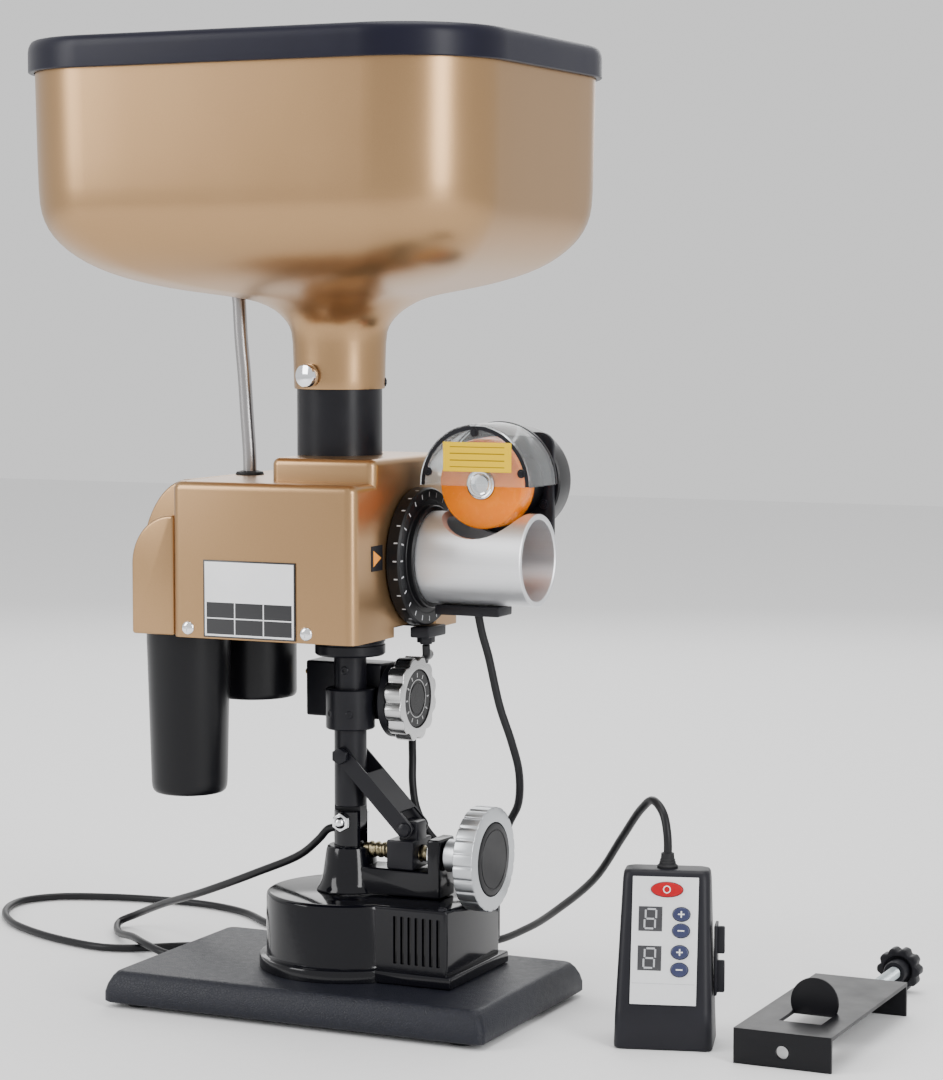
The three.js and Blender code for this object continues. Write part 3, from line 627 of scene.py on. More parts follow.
def through(points, per=8):
    """Points of a smooth centripetal curve that passes through every given point."""
    knots = [Vector(p) for p in points]
    knots = [knots[0] * 2 - knots[1], *knots, knots[-1] * 2 - knots[-2]]
    drawn = []
    for p0, p1, p2, p3 in zip(knots, knots[1:], knots[2:], knots[3:]):
        t1 = (p1 - p0).length ** 0.5
        t2 = t1 + (p2 - p1).length ** 0.5
        t3 = t2 + (p3 - p2).length ** 0.5
        for i in range(per):
            t = t1 + (t2 - t1) * i / per
            a1 = p0 * ((t1 - t) / t1) + p1 * (t / t1)
            a2 = p1 * ((t2 - t) / (t2 - t1)) + p2 * ((t - t1) / (t2 - t1))
            a3 = p2 * ((t3 - t) / (t3 - t2)) + p3 * ((t - t2) / (t3 - t2))
            b1 = a1 * ((t2 - t) / t2) + a2 * (t / t2)
            b2 = a2 * ((t3 - t) / (t3 - t1)) + a3 * ((t - t1) / (t3 - t1))
            drawn.append(b1 * ((t2 - t) / (t2 - t1)) + b2 * ((t - t1) / (t2 - t1)))
    return [*drawn, knots[-2]]


def tube(name, points, r, sides=4):
    """A smooth wire or cord through points."""
    curve = bpy.data.curves.new(name, "CURVE")
    curve.dimensions = "3D"
    curve.bevel_depth = r * MM
    curve.bevel_resolution = sides
    curve.use_fill_caps = True
    drawn = through(points)
    spline = curve.splines.new("POLY")
    spline.points.add(len(drawn) - 1)
    for knot, point in zip(spline.points, drawn):
        knot.co = (*(point * MM), 1)
    piece = bpy.data.objects.new(name, curve)
    bpy.context.collection.objects.link(piece)
    return piece


def to_mesh(piece):
    pick(piece)
    bpy.ops.object.convert(target="MESH")
    return label(piece.name)


set_up_camera()
GOLD = gold_paint()
ENAMEL = gloss_enamel()
FLAT = satin_black("flat_black_paint", 0.34, (0.002, 0.002, 0.003))
SATIN = satin_black()
MOULDED = moulded_black()
MOTOR = moulded_black("motor_sleeve_black", 0.28, (0.003, 0.003, 0.004))
NAVY = moulded_black("navy_rim_plastic", 0.34, (0.003, 0.003, 0.010))
SHELL = moulded_black("control_box_shell", 0.42, (0.008, 0.008, 0.011))
LEATHER = leather_grain()
RUBBER = satin_black("soft_rubber", 0.5, (0.010, 0.010, 0.011))
LEAD = satin_black("cord_jacket", 0.34, (0.007, 0.007, 0.008))
BARREL = brushed("brushed_barrel", (0.80, 0.81, 0.83), "x", 0.42)
KNOB_FACE = turned_face("turned_knob_face", (0.62, 0.64, 0.66), SCREW_AXIS, 0.34)
SWEEP_FACE = turned_face("turned_sweep_face", (0.62, 0.62, 0.62), (0, 18, 168), 0.24)
CHROME = bright_chrome()
ZINC = zinc_plate()
CLEAR_ZINC = zinc_plate("clear_zinc", (0.40, 0.45, 0.47), (0.60, 0.66, 0.68))
STEEL = brushed("drawn_steel_rod", (0.36, 0.35, 0.35), "z", 0.3)
BRASS = turned_brass()
UNLIT = plain("unlit_digit", (0.42, 0.43, 0.45), 0.4, 0.1)
ORANGE = cast_polyurethane()
CLEAR = clear_acrylic()
TICKS = dial_marks()
KNOB_DIAL = knob_dial()
FILM = rating_label()
SILVER = plain("silver_panel_film", (0.72, 0.73, 0.74), 0.34, 0.04, 0.1)
RED = plain("red_key", (0.40, 0.004, 0.010), 0.3, Specular_IOR_Level=0.25)
SLATE = plain("slate_key", (0.026, 0.032, 0.085), 0.22)
WINDOW = plain("smoked_window", (0.040, 0.040, 0.044), 0.16)
WHITE = plain("white_print", (0.78, 0.78, 0.78), 0.4)
MARK = plain("orange_print", (0.85, 0.30, 0.03), 0.4)
STICKER = ruled_sticker()

# ---------- cords ----------
MOTOR_LEAD = [
    (78, 0, 218), (79.5, 1.5, 208), (82, 4, 196), (87, 8, 168), (92, 12, 149), (94, 18, 131),
    (91, 24, 113), (84, 29, 102), (77, 34, 92), (68, 37, 83), (56, 38, 78), (44, 36, 80),
    (33, 32, 90), (26, 30, 104), (23, 31, 118), (21, 35, 131), (18, 41, 144), (17, 47, 159),
    (20, 48, 174), (25, 43, 187), (31, 34, 191.5), (37, 24, 192.5), (42, 12, 193), (44.8, 4, 195),
    (45, 3, 199.9),
]
BOX_CORD = [
    (-8.6, 0, 96), (-14, 0, 94.5), (-21, 2, 88), (-36, 8, 77), (-70, 18, 62), (-117, 40, 43),
    (-168, 78, 24), (-204, 104, 9), (-215, 104, 4), (-201, 79, 3.4), (-175, 54, 7.6),
    (-156, 39, 7.6), (-138, 33, 5), (-123, 40, 2.8), (-120, 54, 2.6), (-128, 67, 2.6),
    (-142, 68, 2.6), (-157, 58, 2.6), (-170, 48, 2.6), (-188, 42, 2.6), (-216, 47, 2.6),
    (-249, 60, 2.6), (-280, 80, 2.6), (-303, 109, 2.6), (-309, 135, 2.6), (-297, 155, 2.6),
    (-270, 168, 2.6), (-229, 176, 2.6), (-191, 175, 2.6), (-160, 164, 2.6), (-134, 144, 2.6),
    (-105, 126, 2.6), (-66, 118, 2.6), (-25, 126, 2.6), (20, 138, 6), (54, 118, 21),
    (88, 88, 42), (124, 56, 69), (150, 31, 98), (167.5, 14, 117), (177.5, 5, 123.6),
    (186.5, -3, 118.5), (190.5, -7, 107), (190.6, -7, 91.4),
]


def length_of(piece):
    """The drawn length of a curve, in metres."""
    copy = piece.copy()
    copy.data = piece.data.copy()
    copy.data.bevel_depth = 0
    bpy.context.collection.objects.link(copy)
    pick(copy)
    bpy.ops.object.convert(target="MESH")
    spots = [v.co for v in bpy.context.object.data.vertices]
    total = sum((b - a).length for a, b in zip(spots, spots[1:]))
    bpy.data.objects.remove(bpy.context.object)
    return total


def lay_cord(name, points, body):
    piece = tube(name, points, 2.25)
    dress(piece, LEAD)
    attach(piece, body)
    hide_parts(name.replace("_run", ""))
    round(length_of(piece), 3)
    return piece


lay_cord("motor_lead_run", MOTOR_LEAD, "head")
lay_cord("box_cord_run", BOX_CORD, "base")


# ---------- base ----------
def make_base_plate():
    rows = []
    for inset, z in ((0.9, 3), (0, 3.8), (0, 8.6), (1.2, 13), (3.2, 17), (5.0, 19.2), (6.2, 19.85), (8, 20)):
        rows.append((-115 + inset, 115 - inset, -76 + inset, 62 - inset, 4.5, z))
    piece = skinned("grained_base_plate", rows, 6)
    fit(piece, "base_plate", "base", LEATHER, 50)


def make_feet():
    for i, (x, y) in enumerate([(-98, -62), (98, -62), (-98, 48), (98, 48)], 1):
        outline = [(0, 0), (6.6, 0), (7.4, 0.25), (8, 0.8), (8.6, 2.2), (8.6, 2.7), (0, 2.7)]
        piece = turned(f"rubber_foot_{i}", "z", (x, y, 0), outline, 40)
        fit(piece, f"foot_{i}", "base", RUBBER)


def make_housing():
    round_part = turned("turret_shell", "z", (0, 0, 0), [
        (0, 20.3), (51, 20.3), (51, 25.6), (50.6, 26.6), (49.6, 27), (48.2, 27), (47.3, 27.5),
        (47, 28.6), (47, 59.4), (46.6, 60.8), (45.6, 61.7), (44.2, 62), (0, 62)], 128)
    front = block("front_part", 0, 75, -34, 34, 20.3, 62, 1.7, 4)
    skirt = block("front_skirt", 0, 79, -38, 38, 20.3, 27, 1.2, 3)
    piece = weld(round_part, front, skirt)
    slots = [block("slot", 43 + i * 4.3, 45.1 + i * 4.3, -36, -31.5, 31, 57, 0.5, 2) for i in range(7)]
    piece = carve(piece, *slots)
    fit(piece, "base_housing", "base", ENAMEL, 30)
    for i, (x, y) in enumerate([(71, -31), (71, 31)], 1):
        head = turned(f"turret_screw_{i}", "z", (x, y, 0), [
            (0, 61.8), (2.4, 61.8), (2.4, 62.6), (2.0, 63.1), (1.2, 63.2), (1.1, 62.6), (0, 62.6)], 28)
        fit(head, None, "base", SATIN)


def make_inlet():
    piece = block("inlet_body", 46, 72, 34.3, 42.3, 32, 52, 1.0)
    piece = carve(piece, block("cavity", 49.5, 68.5, 36.5, 45, 35, 49, 2.2))
    pins = [block("pin", x, x + 2.2, 35.5, 41.2, z, z + 5, 0.4)
            for x, z in ((51.6, 38), (64.2, 38), (57.9, 43))]
    prongs = gather("inlet_prongs", *pins)
    fit(piece, "mains_inlet", "base", MOULDED)
    fit(prongs, None, "base", BRASS)


def make_post():
    cone = turned("post_cone", "z", (0, 0, 0), [
        (0, 62.3), (19, 62.3), (19.1, 63), (18.4, 64.2), (17.4, 65.6), (16.3, 68.4), (15.5, 72),
        (14.6, 78), (13.6, 84.5), (13, 86.4), (12, 87), (9.5, 87), (9.25, 87.3), (9.25, 106.2),
        (8.7, 106.8), (0, 106.8)], 80)
    beam = block("screw_beam", 8, 59, -10, 10, 62.3, 77, 1.4)
    upright = block("screw_upright", 51.5, 59, -10, 10, 62.3, 95, 1.4)
    piece = weld(cone, beam, upright)
    piece = carve(piece, block("slot", -11, 11, -4.4, 4.4, 89.5, 108),
                  rod("pin_hole", "y", 3.2, -12, 12, (0, 0, 101), 40),
                  rod("screw_bore", "x", 4.9, 7, 62, SCREW_AXIS, 48))
    fit(piece, "post_frame", "base", ENAMEL, 30)
    washer = turned("screw_washer", "x", SCREW_AXIS, [
        (4.7, 50.3), (8.0, 50.3), (8.4, 50.6), (8.4, 51.1), (8.0, 51.4), (4.7, 51.4), (4.7, 50.3)], 56)
    fit(washer, None, "elevation_screw", CHROME)


def make_pivot_bolt():
    hexes = [rod("hex", "y", 5.4, a, b, (0, 0, 101), 6, 0.5) for a, b in ((-13.3, -9.7), (9.7, 13.3))]
    dome = turned("acorn", "y", (0, 0, 101), [(0, -16.3), (1.4, -16.1), (2.6, -15.3), (3.2, -14.2),
                                              (3.4, -13.2), (0, -13.2)], 40)
    shank = rod("shank", "y", 2.9, -12, 12, (0, 0, 101), 32)
    piece = gather("pivot_bolt_bright", *hexes, dome, shank)
    fit(piece, "pivot_bolt", "base", CHROME)


# ---------- elevation ----------
def make_screw():
    piece = threaded("lead_screw_thread", "x", SCREW_AXIS, 3.65, 4.45, ELEVATION_PITCH, 9.2, 75)
    fit(piece, "lead_screw", "elevation_screw", ZINC, 28)


def make_elevation_knob():
    rim = lobed("elevation_grip", "x", SCREW_AXIS, 24, 28.5, 0.75, 75.5, 87, 0.7,
                (20.4, 2.6), (1.0, 0.12, 0.0))
    hub = turned("elevation_hub", "x", SCREW_AXIS, [
        (4.7, 60.3), (8.4, 60.3), (9, 60.9), (9, 73.5), (10.4, 75.7), (4.7, 75.7), (4.7, 60.3)], 64)
    piece = gather("elevation_knob_silver", rim, hub)
    piece.data.materials.clear()
    fit(piece, "elevation_knob", "elevation_screw", KNOB_FACE)
    cap = turned("elevation_cap_gloss", "x", SCREW_AXIS, [
        (0, 84.7), (20, 84.7), (20, 86.4), (19.5, 87.1), (18.6, 87.35), (16.6, 87.4), (16.3, 87.1),
        (15.9, 87.1), (15.6, 87.4), (0, 87.4)], 96)
    fit(cap, "elevation_knob_cap", "elevation_screw", FLAT)


def make_nut_and_strut():
    body = block("nut_body", 28, 44, -12, 12, 77.6, 93.6, 0.9)
    lug = block("nut_lug", 32.5, 44, -6, 6, 92, 103.4, 1.2)
    piece = carve(weld(body, lug), rod("bore", "x", 4.9, 27, 45, SCREW_AXIS, 48))
    fit(piece, "slider_block", "elevation_nut", SATIN, 30)
    length = math.hypot(38, 38.5)
    slope = math.atan2(38.5, 38)
    cheeks = []
    for y in (-10.6, 9.4):
        plate = block("cheek", 0, length, y, y + 1.2, -4.6, 4.6)
        ends = [rod("end", "y", 4.6, y, y + 1.2, (x, 0, 0), 40) for x in (0, length)]
        cheeks.append(weld(plate, *ends))
    web = block("web", 17, length - 9, -10.6, 10.6, 3.2, 4.6)
    arm = weld(cheeks[0], cheeks[1], web)
    holes = [rod("hole", "y", r, -14, 14, (x, 0, 0), 32) for r, x in ((3.7, 0), (2.7, length))]
    arm = ease(carve(arm, *holes), 0.25, 2, 50)
    bosses = [block("spacer", length - 12, length + 3, a, a + 3, -4, 4, 0.8) for a in (-9.5, 6.5)]
    arm = gather("strut_arm", arm, *bosses)
    put(arm, 0, 0, 138, Euler((0, slope, 0)))
    fit(arm, "strut", "elevation_nut", SATIN, 30)
    rivet = turned("strut_rivet", "y", (38, 0, 99.5), [
        (0, -13.3), (2.4, -13.1), (3.6, -12.4), (4, -11.3), (4, -10.9), (2.4, -10.9), (2.4, 12.2),
        (0, 12.2)], 36)
    fit(rivet, "strut_slider_pin", "elevation_nut", SATIN)
    bolt = rod("hex", "y", 4.8, -14.4, -10.9, (0, 0, 138), 6, 0.5)
    shank = rod("shank", "y", 2.9, -12, 12.4, (0, 0, 138), 32)
    fit(gather("strut_bolt", bolt, shank), "strut_mast_pin", "mast", SATIN)


# ---------- mast ----------
def make_mast():
    tube_part = turned("mast_rod", "z", (0, 0, 0), [
        (0, 109), (8.4, 109), (9, 109.6), (9, 192.1), (8.5, 192.7), (6, 192.7), (6, 203), (0, 203)], 72)
    tongue = block("tongue", -8, 8, -4.1, 4.1, 101, 112)
    toe = rod("toe", "y", 8, -4.1, 4.1, (0, 0, 101), 56)
    piece = weld(tube_part, tongue, toe)
    piece = carve(piece, rod("hole", "y", 3.2, -12, 12, (0, 0, 101), 32))
    fit(piece, "mast_tube", "mast", SATIN)
    collar = turned("mast_collar_ring", "z", (0, 0, 0), [
        (9.3, 152), (12.9, 152), (13.6, 152.7), (13.6, 173.8), (12.9, 174.5), (9.3, 174.5), (9.3, 152)], 80)
    collar = carve(collar, block("flat", -16, 16, 9.2, 16, 150, 180))
    fit(collar, "mast_collar", "mast", SATIN, 30)
    for i, (x, z, r) in enumerate([(-6.5, 161, 13.2), (5.5, 161, 13.2), (1.0, 185, 9.0)], 1):
        angle = math.atan2(-math.sqrt(r * r - x * x), x)
        screw = turned(f"set_screw_{i}", "x", (0, 0, 0), [
            (0, 0), (2.3, 0), (2.3, 0.9), (1.9, 1.2), (1.1, 1.2), (1.0, 0.4), (0, 0.4)], 24)
        turn = Euler((0, 0, angle))
        put(screw, math.cos(angle) * (r - 0.6), math.sin(angle) * (r - 0.6), z, turn)
        fit(screw, None, "mast", SATIN)


def make_sweep_parts():
    body = block("cross_body", -33, 14, 9.7, 28, 156, 187, 1.2)
    boss = rod("boss", "x", 12, 13, 17, (0, 18, 168), 64, 0.5)
    piece = carve(weld(body, boss), rod("bore", "x", 4.3, 2, 20, (0, 18, 168), 40))
    fit(piece, "cross_block", "mast", SATIN, 30)
    pin = turned("brass_crank_pin", "x", (0, 16, 180), [
        (0, -36.2), (1.1, -36.2), (1.6, -35.8), (1.6, -34.9), (1.2, -34.7), (1.2, -34.4), (1.6, -34.2),
        (1.6, -33.3), (0, -33.3)], 32)
    fit(pin, "crank_pin", "mast", BRASS)
    disc = turned("sweep_backing", "x", (0, 18, 167), [
        (5.8, 17.4), (20.2, 17.4), (21, 18.2), (21, 21.8), (20.2, 22.6), (5.8, 22.6), (5.8, 17.4)], 72)
    fit(disc, "sweep_disc", "mast", MOULDED)
    rim = lobed("sweep_grip", "x", (0, 18, 168), 12, 23.5, 2.2, 23, 33, 0.9, (16.4, 3.4))
    shaft = rod("shaft", "x", 4, 6, 24, (0, 18, 168), 40)
    fit(gather("sweep_knob_polished", rim, shaft), "sweep_knob", "sweep_control", SWEEP_FACE)
    dial = turned("sweep_dial_face", "x", (0, 18, 168), [
        (0, 29.9), (16, 29.9), (16, 32), (15.6, 32.4), (9.4, 32.4), (9.1, 32.1), (8.7, 32.1), (8.4, 32.4),
        (0, 32.4)], 80)
    fit(dial, "sweep_dial", "sweep_control", KNOB_DIAL)


# ---------- head ----------
def soft_box(name, x0, x1, y0, y1, z0, z1, upright, top):
    """A pressed cover: upright edges and the top's edges are rounded, the foot stays sharp."""
    piece = block(name, x0, x1, y0, y1, z0, z1)
    for radius, wanted in ((upright, "upright"), (top, "top")):
        pick(piece)
        bpy.ops.object.mode_set(mode="EDIT")
        bpy.ops.mesh.select_mode(type="EDGE")
        bpy.ops.mesh.select_all(action="DESELECT")
        bpy.ops.object.mode_set(mode="OBJECT")
        for edge in piece.data.edges:
            a, b = (piece.data.vertices[i].co for i in edge.vertices)
            if wanted == "upright":
                edge.select = abs(a.z - b.z) > (z1 - z0) * 0.9 * MM
            else:
                edge.select = min(a.z, b.z) > z1 * MM - 0.00001
        bpy.ops.object.mode_set(mode="EDIT")
        bpy.ops.mesh.bevel(offset=radius * MM, segments=7, profile=0.5)
        bpy.ops.object.mode_set(mode="OBJECT")
    return piece


def make_cover():
    main = soft_box("cover_main", -71, 40, -72.6, 57, 207, 291, 6, 4.5)
    raised = soft_box("cover_raised", -22.6, 40, -49.3, 40, 270, 303.5, 5, 4)
    piece = weld(main, raised)
    piece = carve(piece,
                  block("inside", -68.8, 37.8, -70.4, 54.8, 200, 288.6),
                  block("inside_top", -20.4, 37.8, -47, 37.8, 283, 301.3),
                  rod("ball_port", "x", 25.5, 30, 50, BARREL_AXIS, 96),
                  rod("feed_port", "z", 24, 284, 310, (-6, 0, 0), 96),
                  rod("rod_port", "z", 6.6, 280, 300, (-61, -3, 0), 48),
                  block("foot_notch", 30, 50, -26, 26, 200, 212.5))
    fit(piece, "head_cover", "head", GOLD, 28)
    for i, x in enumerate((-60.5, 11.4), 1):
        head = turned(f"cover_screw_{i}", "y", (x, -72.6, 212.1), [
            (0, -1.5), (1.6, -1.45), (2.9, -1.1), (3.6, -0.45), (3.75, 0.05), (0, 0.05)], 40)
        cross = [block("slot", x - a, x + a, -75, -73.5, 212.1 - b, 212.1 + b)
                 for a, b in ((1.9, 0.32), (0.32, 1.9))]
        fit(carve(head, *cross), None, "head", CHROME)
    grommet = turned("rod_grommet", "z", (-61, -3, 0), [
        (4.4, 290.6), (7.6, 290.6), (8, 291.3), (7.4, 292.6), (5, 293.2), (4.4, 292.8), (4.4, 290.6)], 48)
    fit(grommet, None, "head", RUBBER)
    square = block("direction_square", 40.0, 40.35, -53, -40, 244.5, 258, 0.1, 1)
    fit(square, None, "head", MOULDED)
    arrow = trace("direction_arrow", [(40.36, -51, 247), (40.36, -51, 255.5), (40.36, -42, 251.2)],
                  close=True)
    bpy.ops.mesh.extrude_region_move(TRANSFORM_OT_translate={"value": (0.15 * MM, 0, 0)})
    bpy.ops.object.mode_set(mode="OBJECT")
    fit(tidy_faces(arrow), None, "head", MARK)


def make_rear_covers():
    for name, back, z_arc, z_top, y0, y1 in (
            ("rear_cover_low", -98, 245, 272, -69, -50.2), ("rear_cover_high", -104, 240, 290.6, -49.8, 50)):
        points = [(-71.3, 0, 207), (back, 0, 207), (back, 0, z_arc)]
        reach = -73 - back
        for i in range(1, 17):
            a = math.pi / 2 * i / 16
            points.append((-73 - reach * math.cos(a), 0, z_arc + (z_top - z_arc) * math.sin(a)))
        points.append((-71.3, 0, z_top))
        piece = trace(name + "_pressed", points, close=True)
        bpy.ops.transform.translate(value=(0, y0 * MM, 0))
        bpy.ops.mesh.extrude_region_move(TRANSFORM_OT_translate={"value": (0, (y1 - y0) * MM, 0)})
        bpy.ops.object.mode_set(mode="OBJECT")
        tidy_faces(piece)
        ease(piece, 1.6, 4, 50)
        fit(piece, name, "head", GOLD, 40)


def make_head_fittings():
    bearing = turned("head_bearing_ring", "z", (0, 0, 0), [
        (6.3, 193), (18.4, 193), (19.5, 194), (19.5, 198.6), (18.9, 199.1), (18.9, 200.2), (19.5, 200.7),
        (19.5, 206.9), (6.3, 206.9), (6.3, 193)], 80)
    fit(bearing, "head_bearing", "head", SATIN)
    plate = block("rating_label_plate", -50.4, 5.4, -73.4, -72.9, 207.9, 249.4, 0.12, 2)
    backing = block("label_backing", -49, 4, -73, -72.5, 209, 248, 0.05, 1)
    fit(gather("rating_label_plate", plate, backing), "label_plate", "head", FILM)
    sleeve = turned("feed_sleeve_tube", "z", (-6, 0, 0), [
        (21.3, 297.4), (23.4, 297.4), (23.4, 351.4), (22.8, 352), (21.6, 352), (21.3, 351.7),
        (21.3, 297.4)], 96)
    fit(sleeve, "feed_sleeve", "head", SATIN)
    long_motor = turned("feed_motor_case", "z", (-77, -44, 0), [
        (0, 118), (17.6, 118), (18.8, 118.4), (19.9, 119.4), (20.6, 121.2), (20.9, 124), (22.9, 199),
        (23, 201), (23, 206.9), (0, 206.9)], 88)
    fit(long_motor, "feed_motor", "head", MOTOR)
    short_motor = turned("sweep_motor_case", "z", (-64.5, 8, 0), [
        (0, 165.5), (20.6, 165.5), (22.4, 166), (23.3, 167.2), (23.5, 169), (23.5, 206.9), (0, 206.9)], 88)
    fit(short_motor, "sweep_motor", "head", MOTOR)
    foot = block("gland_body", 40.6, 52, -8, 14, 205, 210.9, 0.9)
    nut = rod("gland_nut", "z", 5.1, 201.5, 205.4, (45, 3, 0), 6, 0.5)
    relief = turned("gland_relief", "z", (45, 3, 0), [
        (2.45, 200.6), (3.1, 200.6), (3.6, 201.6), (3.6, 202.2), (2.45, 202.2), (2.45, 200.6)], 32)
    fit(gather("lead_gland_black", foot, nut, relief), "lead_gland", "head", MOULDED)
    bent = [(-61, -3, 262), (-61, -3, 280), (-61, -3, 300), (-62.6, -3, 324), (-64, -3, 345), (-66, -3, 367),
            (-67, -3, 385), (-67.5, -3, 394), (-65, -3, 401), (-58, -2.5, 406), (-45, -1.5, 407),
            (-27, -1, 404)]
    wire = to_mesh(tube("agitator_rod_chrome", bent, 3.8, 6))
    fit(tidy_faces(wire), "agitator_rod", "agitator", STEEL, 60)


# ---------- hopper ----------
BOWL = [
    (522, -154, 117.5, 110.7, 54), (516, -154, 117.5, 110.7, 54), (480, -153.5, 117, 110.2, 54),
    (443, -153, 116.5, 109.7, 54), (434, -152, 115.5, 108.7, 54), (425.6, -149, 112.5, 105.7, 52),
    (418, -144, 107.5, 100.7, 50), (411, -137, 100.5, 94, 48), (405, -128, 92, 86, 46),
    (400, -117, 81, 77, 45), (396, -104, 69, 67, 45), (393, -90, 57, 58, 45), (391, -75, 47, 52, 45),
    (389, -61, 41, 47, 44), (387, -49.5, 36, 42.4, 40), (382.6, -40.8, 28.8, 34.8, 34),
    (377.7, -35.9, 23.9, 29.9, 29.4), (373.6, -33, 21, 27, 26.5), (368, -31.3, 19.3, 25.3, 24.9),
    (340.2, -31, 19, 25, 24.6), (339.5, -30.6, 18.6, 24.6, 24.2),
]


def make_hopper():
    rows = [(a, b, -y, y, r, z) for z, a, b, y, r in reversed(BOWL)]
    bowl = skinned("hopper_spun_bowl", rows, 14, bottom=False, top=False)
    finish_with(bowl, "SUBSURF", levels=1, render_levels=1, boundary_smooth="PRESERVE_CORNERS")
    pick(bowl)
    bpy.ops.object.mode_set(mode="EDIT")
    bpy.ops.mesh.select_all(action="SELECT")
    bpy.ops.mesh.normals_make_consistent(inside=False)
    bpy.ops.object.mode_set(mode="OBJECT")
    middle = bowl.data.polygons[len(bowl.data.polygons) // 2]
    outward = middle.normal.dot(middle.center - Vector((-0.018, 0, middle.center.z))) > 0
    finish_with(bowl, "SOLIDIFY", thickness=1.4 * MM, offset=-1 if outward else 1, use_even_offset=True)
    carve(bowl, rod("rod_hole", "z", 7.2, 384, 402, (-67.2, -3, 0), 48))
    fit(bowl, "hopper_bowl", "head", GOLD, 50)
    section = [
        (0.3, 509), (2.9, 509), (3.4, 509.5), (3.4, 519.5), (3.1, 521.8), (2.4, 523.7), (1.4, 525.2),
        (0, 525.9), (-2, 526), (-3.6, 525.4), (-4.7, 524.2), (-5, 522.5), (-5, 512), (-2.4, 512),
        (-2.4, 522.4), (0.3, 522.4),
    ]
    rows = [(-154 - d, 117.5 + d, -110.7 - d, 110.7 + d, 54 + d, z) for d, z in section]
    rim = skinned("hopper_rim_navy", rows, 28, bottom=False, top=False, join_ends=True)
    fit(rim, "hopper_rim", "head", NAVY, 35)
    stud = turned("hopper_stud_knurled", "y", (0, 0, 0), [
        (0, -31), (5.4, -31), (6.1, -30.6), (6.4, -29.9), (6.4, -26.6), (6.1, -26), (5, -25.7), (5, -25.3),
        (0, -25.3)], 56)
    put(stud, -6, 0, 347, Euler((0, 0, math.radians(-11))))
    fit(stud, "lock_stud", "hopper_stud", CHROME)
    angle = math.atan2(10.6, 22.7)
    screw = turned("neck_screw", "x", (0, 0, 0), [
        (0, 0.9), (1.4, 0.9), (1.5, 0.5), (2.3, 0.5), (2.5, 0.2), (2.5, -0.4), (0, -0.4)], 28)
    put(screw, -6 + 25 * math.cos(angle), 25 * math.sin(angle), 343, Euler((0, 0, angle)))
    fit(screw, None, "head", SATIN)


# ---------- launcher ----------
def make_launcher():
    ring = turned("spin_dial", "x", BARREL_AXIS, [
        (25.3, 40.6), (36.7, 40.6), (37.5, 41.4), (37.5, 47.6), (36.6, 48.6), (31, 48.6), (30.6, 48.2),
        (28.4, 48.2), (28, 48.6), (28, 51.4), (27.4, 52), (25.3, 52), (25.3, 40.6)], 128)
    fit(ring, "dial_ring", "launcher", TICKS)
    barrel = turned("launch_barrel", "x", BARREL_AXIS, [
        (22, 36.4), (22.4, 36), (24.6, 36), (25, 36.4), (25, 112.9), (24.5, 113.5), (22.5, 113.5),
        (22, 112.9), (22, 36.4)], 128)
    carve(barrel, rod("wheel_port", "y", 28.5, -40, 40, WHEEL_AXIS, 96))
    fit(barrel, "barrel", "launcher", BARREL, 30)
    eye = turned("ball_sensor_eye", "y", (60, -22.3, 249), [
        (0, 1.9), (1.2, 1.8), (1.9, 1.2), (2.1, 0.1), (2.1, -0.2), (0, -0.2)], 28)
    far_eye = turned("ball_sensor_far", "y", (60, 22.3, 249), [
        (0, -1.9), (1.2, -1.8), (1.9, -1.2), (2.1, -0.1), (2.1, 0.2), (0, 0.2)], 28)
    for piece in (eye, far_eye):
        fit(piece, None, "launcher", SATIN)
    plate = block("bracket_sheet", 56.5, 110.5, 25.4, 29, 243.5, 316.5)
    pick(plate)
    bpy.ops.object.mode_set(mode="EDIT")
    bpy.ops.mesh.select_mode(type="EDGE")
    bpy.ops.mesh.select_all(action="DESELECT")
    bpy.ops.object.mode_set(mode="OBJECT")
    for edge in plate.data.edges:
        a, b = (plate.data.vertices[i].co for i in edge.vertices)
        edge.select = abs(a.y - b.y) > 0.002
    bpy.ops.object.mode_set(mode="EDIT")
    bpy.ops.mesh.bevel(offset=8 * MM, segments=8)
    bpy.ops.object.mode_set(mode="OBJECT")
    plate = carve(plate, rod("motor_hole", "y", 21.9, 20, 40, WHEEL_AXIS, 96))
    ease(plate, 0.5, 2, 50)
    fit(plate, "motor_bracket", "launcher", SATIN, 30)
    motor = turned("launch_motor_can", "y", WHEEL_AXIS, [
        (0, 11.6), (20.4, 11.6), (21.5, 12.6), (21.5, 29.4), (28.6, 29.4), (29.5, 30.2), (29.5, 43.6),
        (29.1, 45.4), (27.8, 46.6), (21.5, 47), (21.5, 61.4), (21, 63), (19.6, 65), (17.4, 66), (8, 66),
        (7.4, 65.4), (0, 65.4)], 96)
    fit(motor, "launch_motor", "launcher", MOTOR)
    for i in range(3):
        a = math.radians(90 + 120 * i)
        spot = (WHEEL_AXIS[0] + 25.2 * math.cos(a), 25.5, WHEEL_AXIS[2] + 25.2 * math.sin(a) * 0.95)
        head = turned(f"bracket_screw_{i + 1}", "y", spot, [
            (0, -1.6), (1.4, -1.6), (1.5, -1.1), (2.4, -1.1), (2.6, -0.8), (2.6, 0), (0, 0)], 28)
        fit(head, None, "launcher", SATIN)
    foot = block("lead_block_black", 56, 94, -9, 9, 218.4, 223.7, 1.0)
    fit(foot, "lead_block", "launcher", MOULDED)


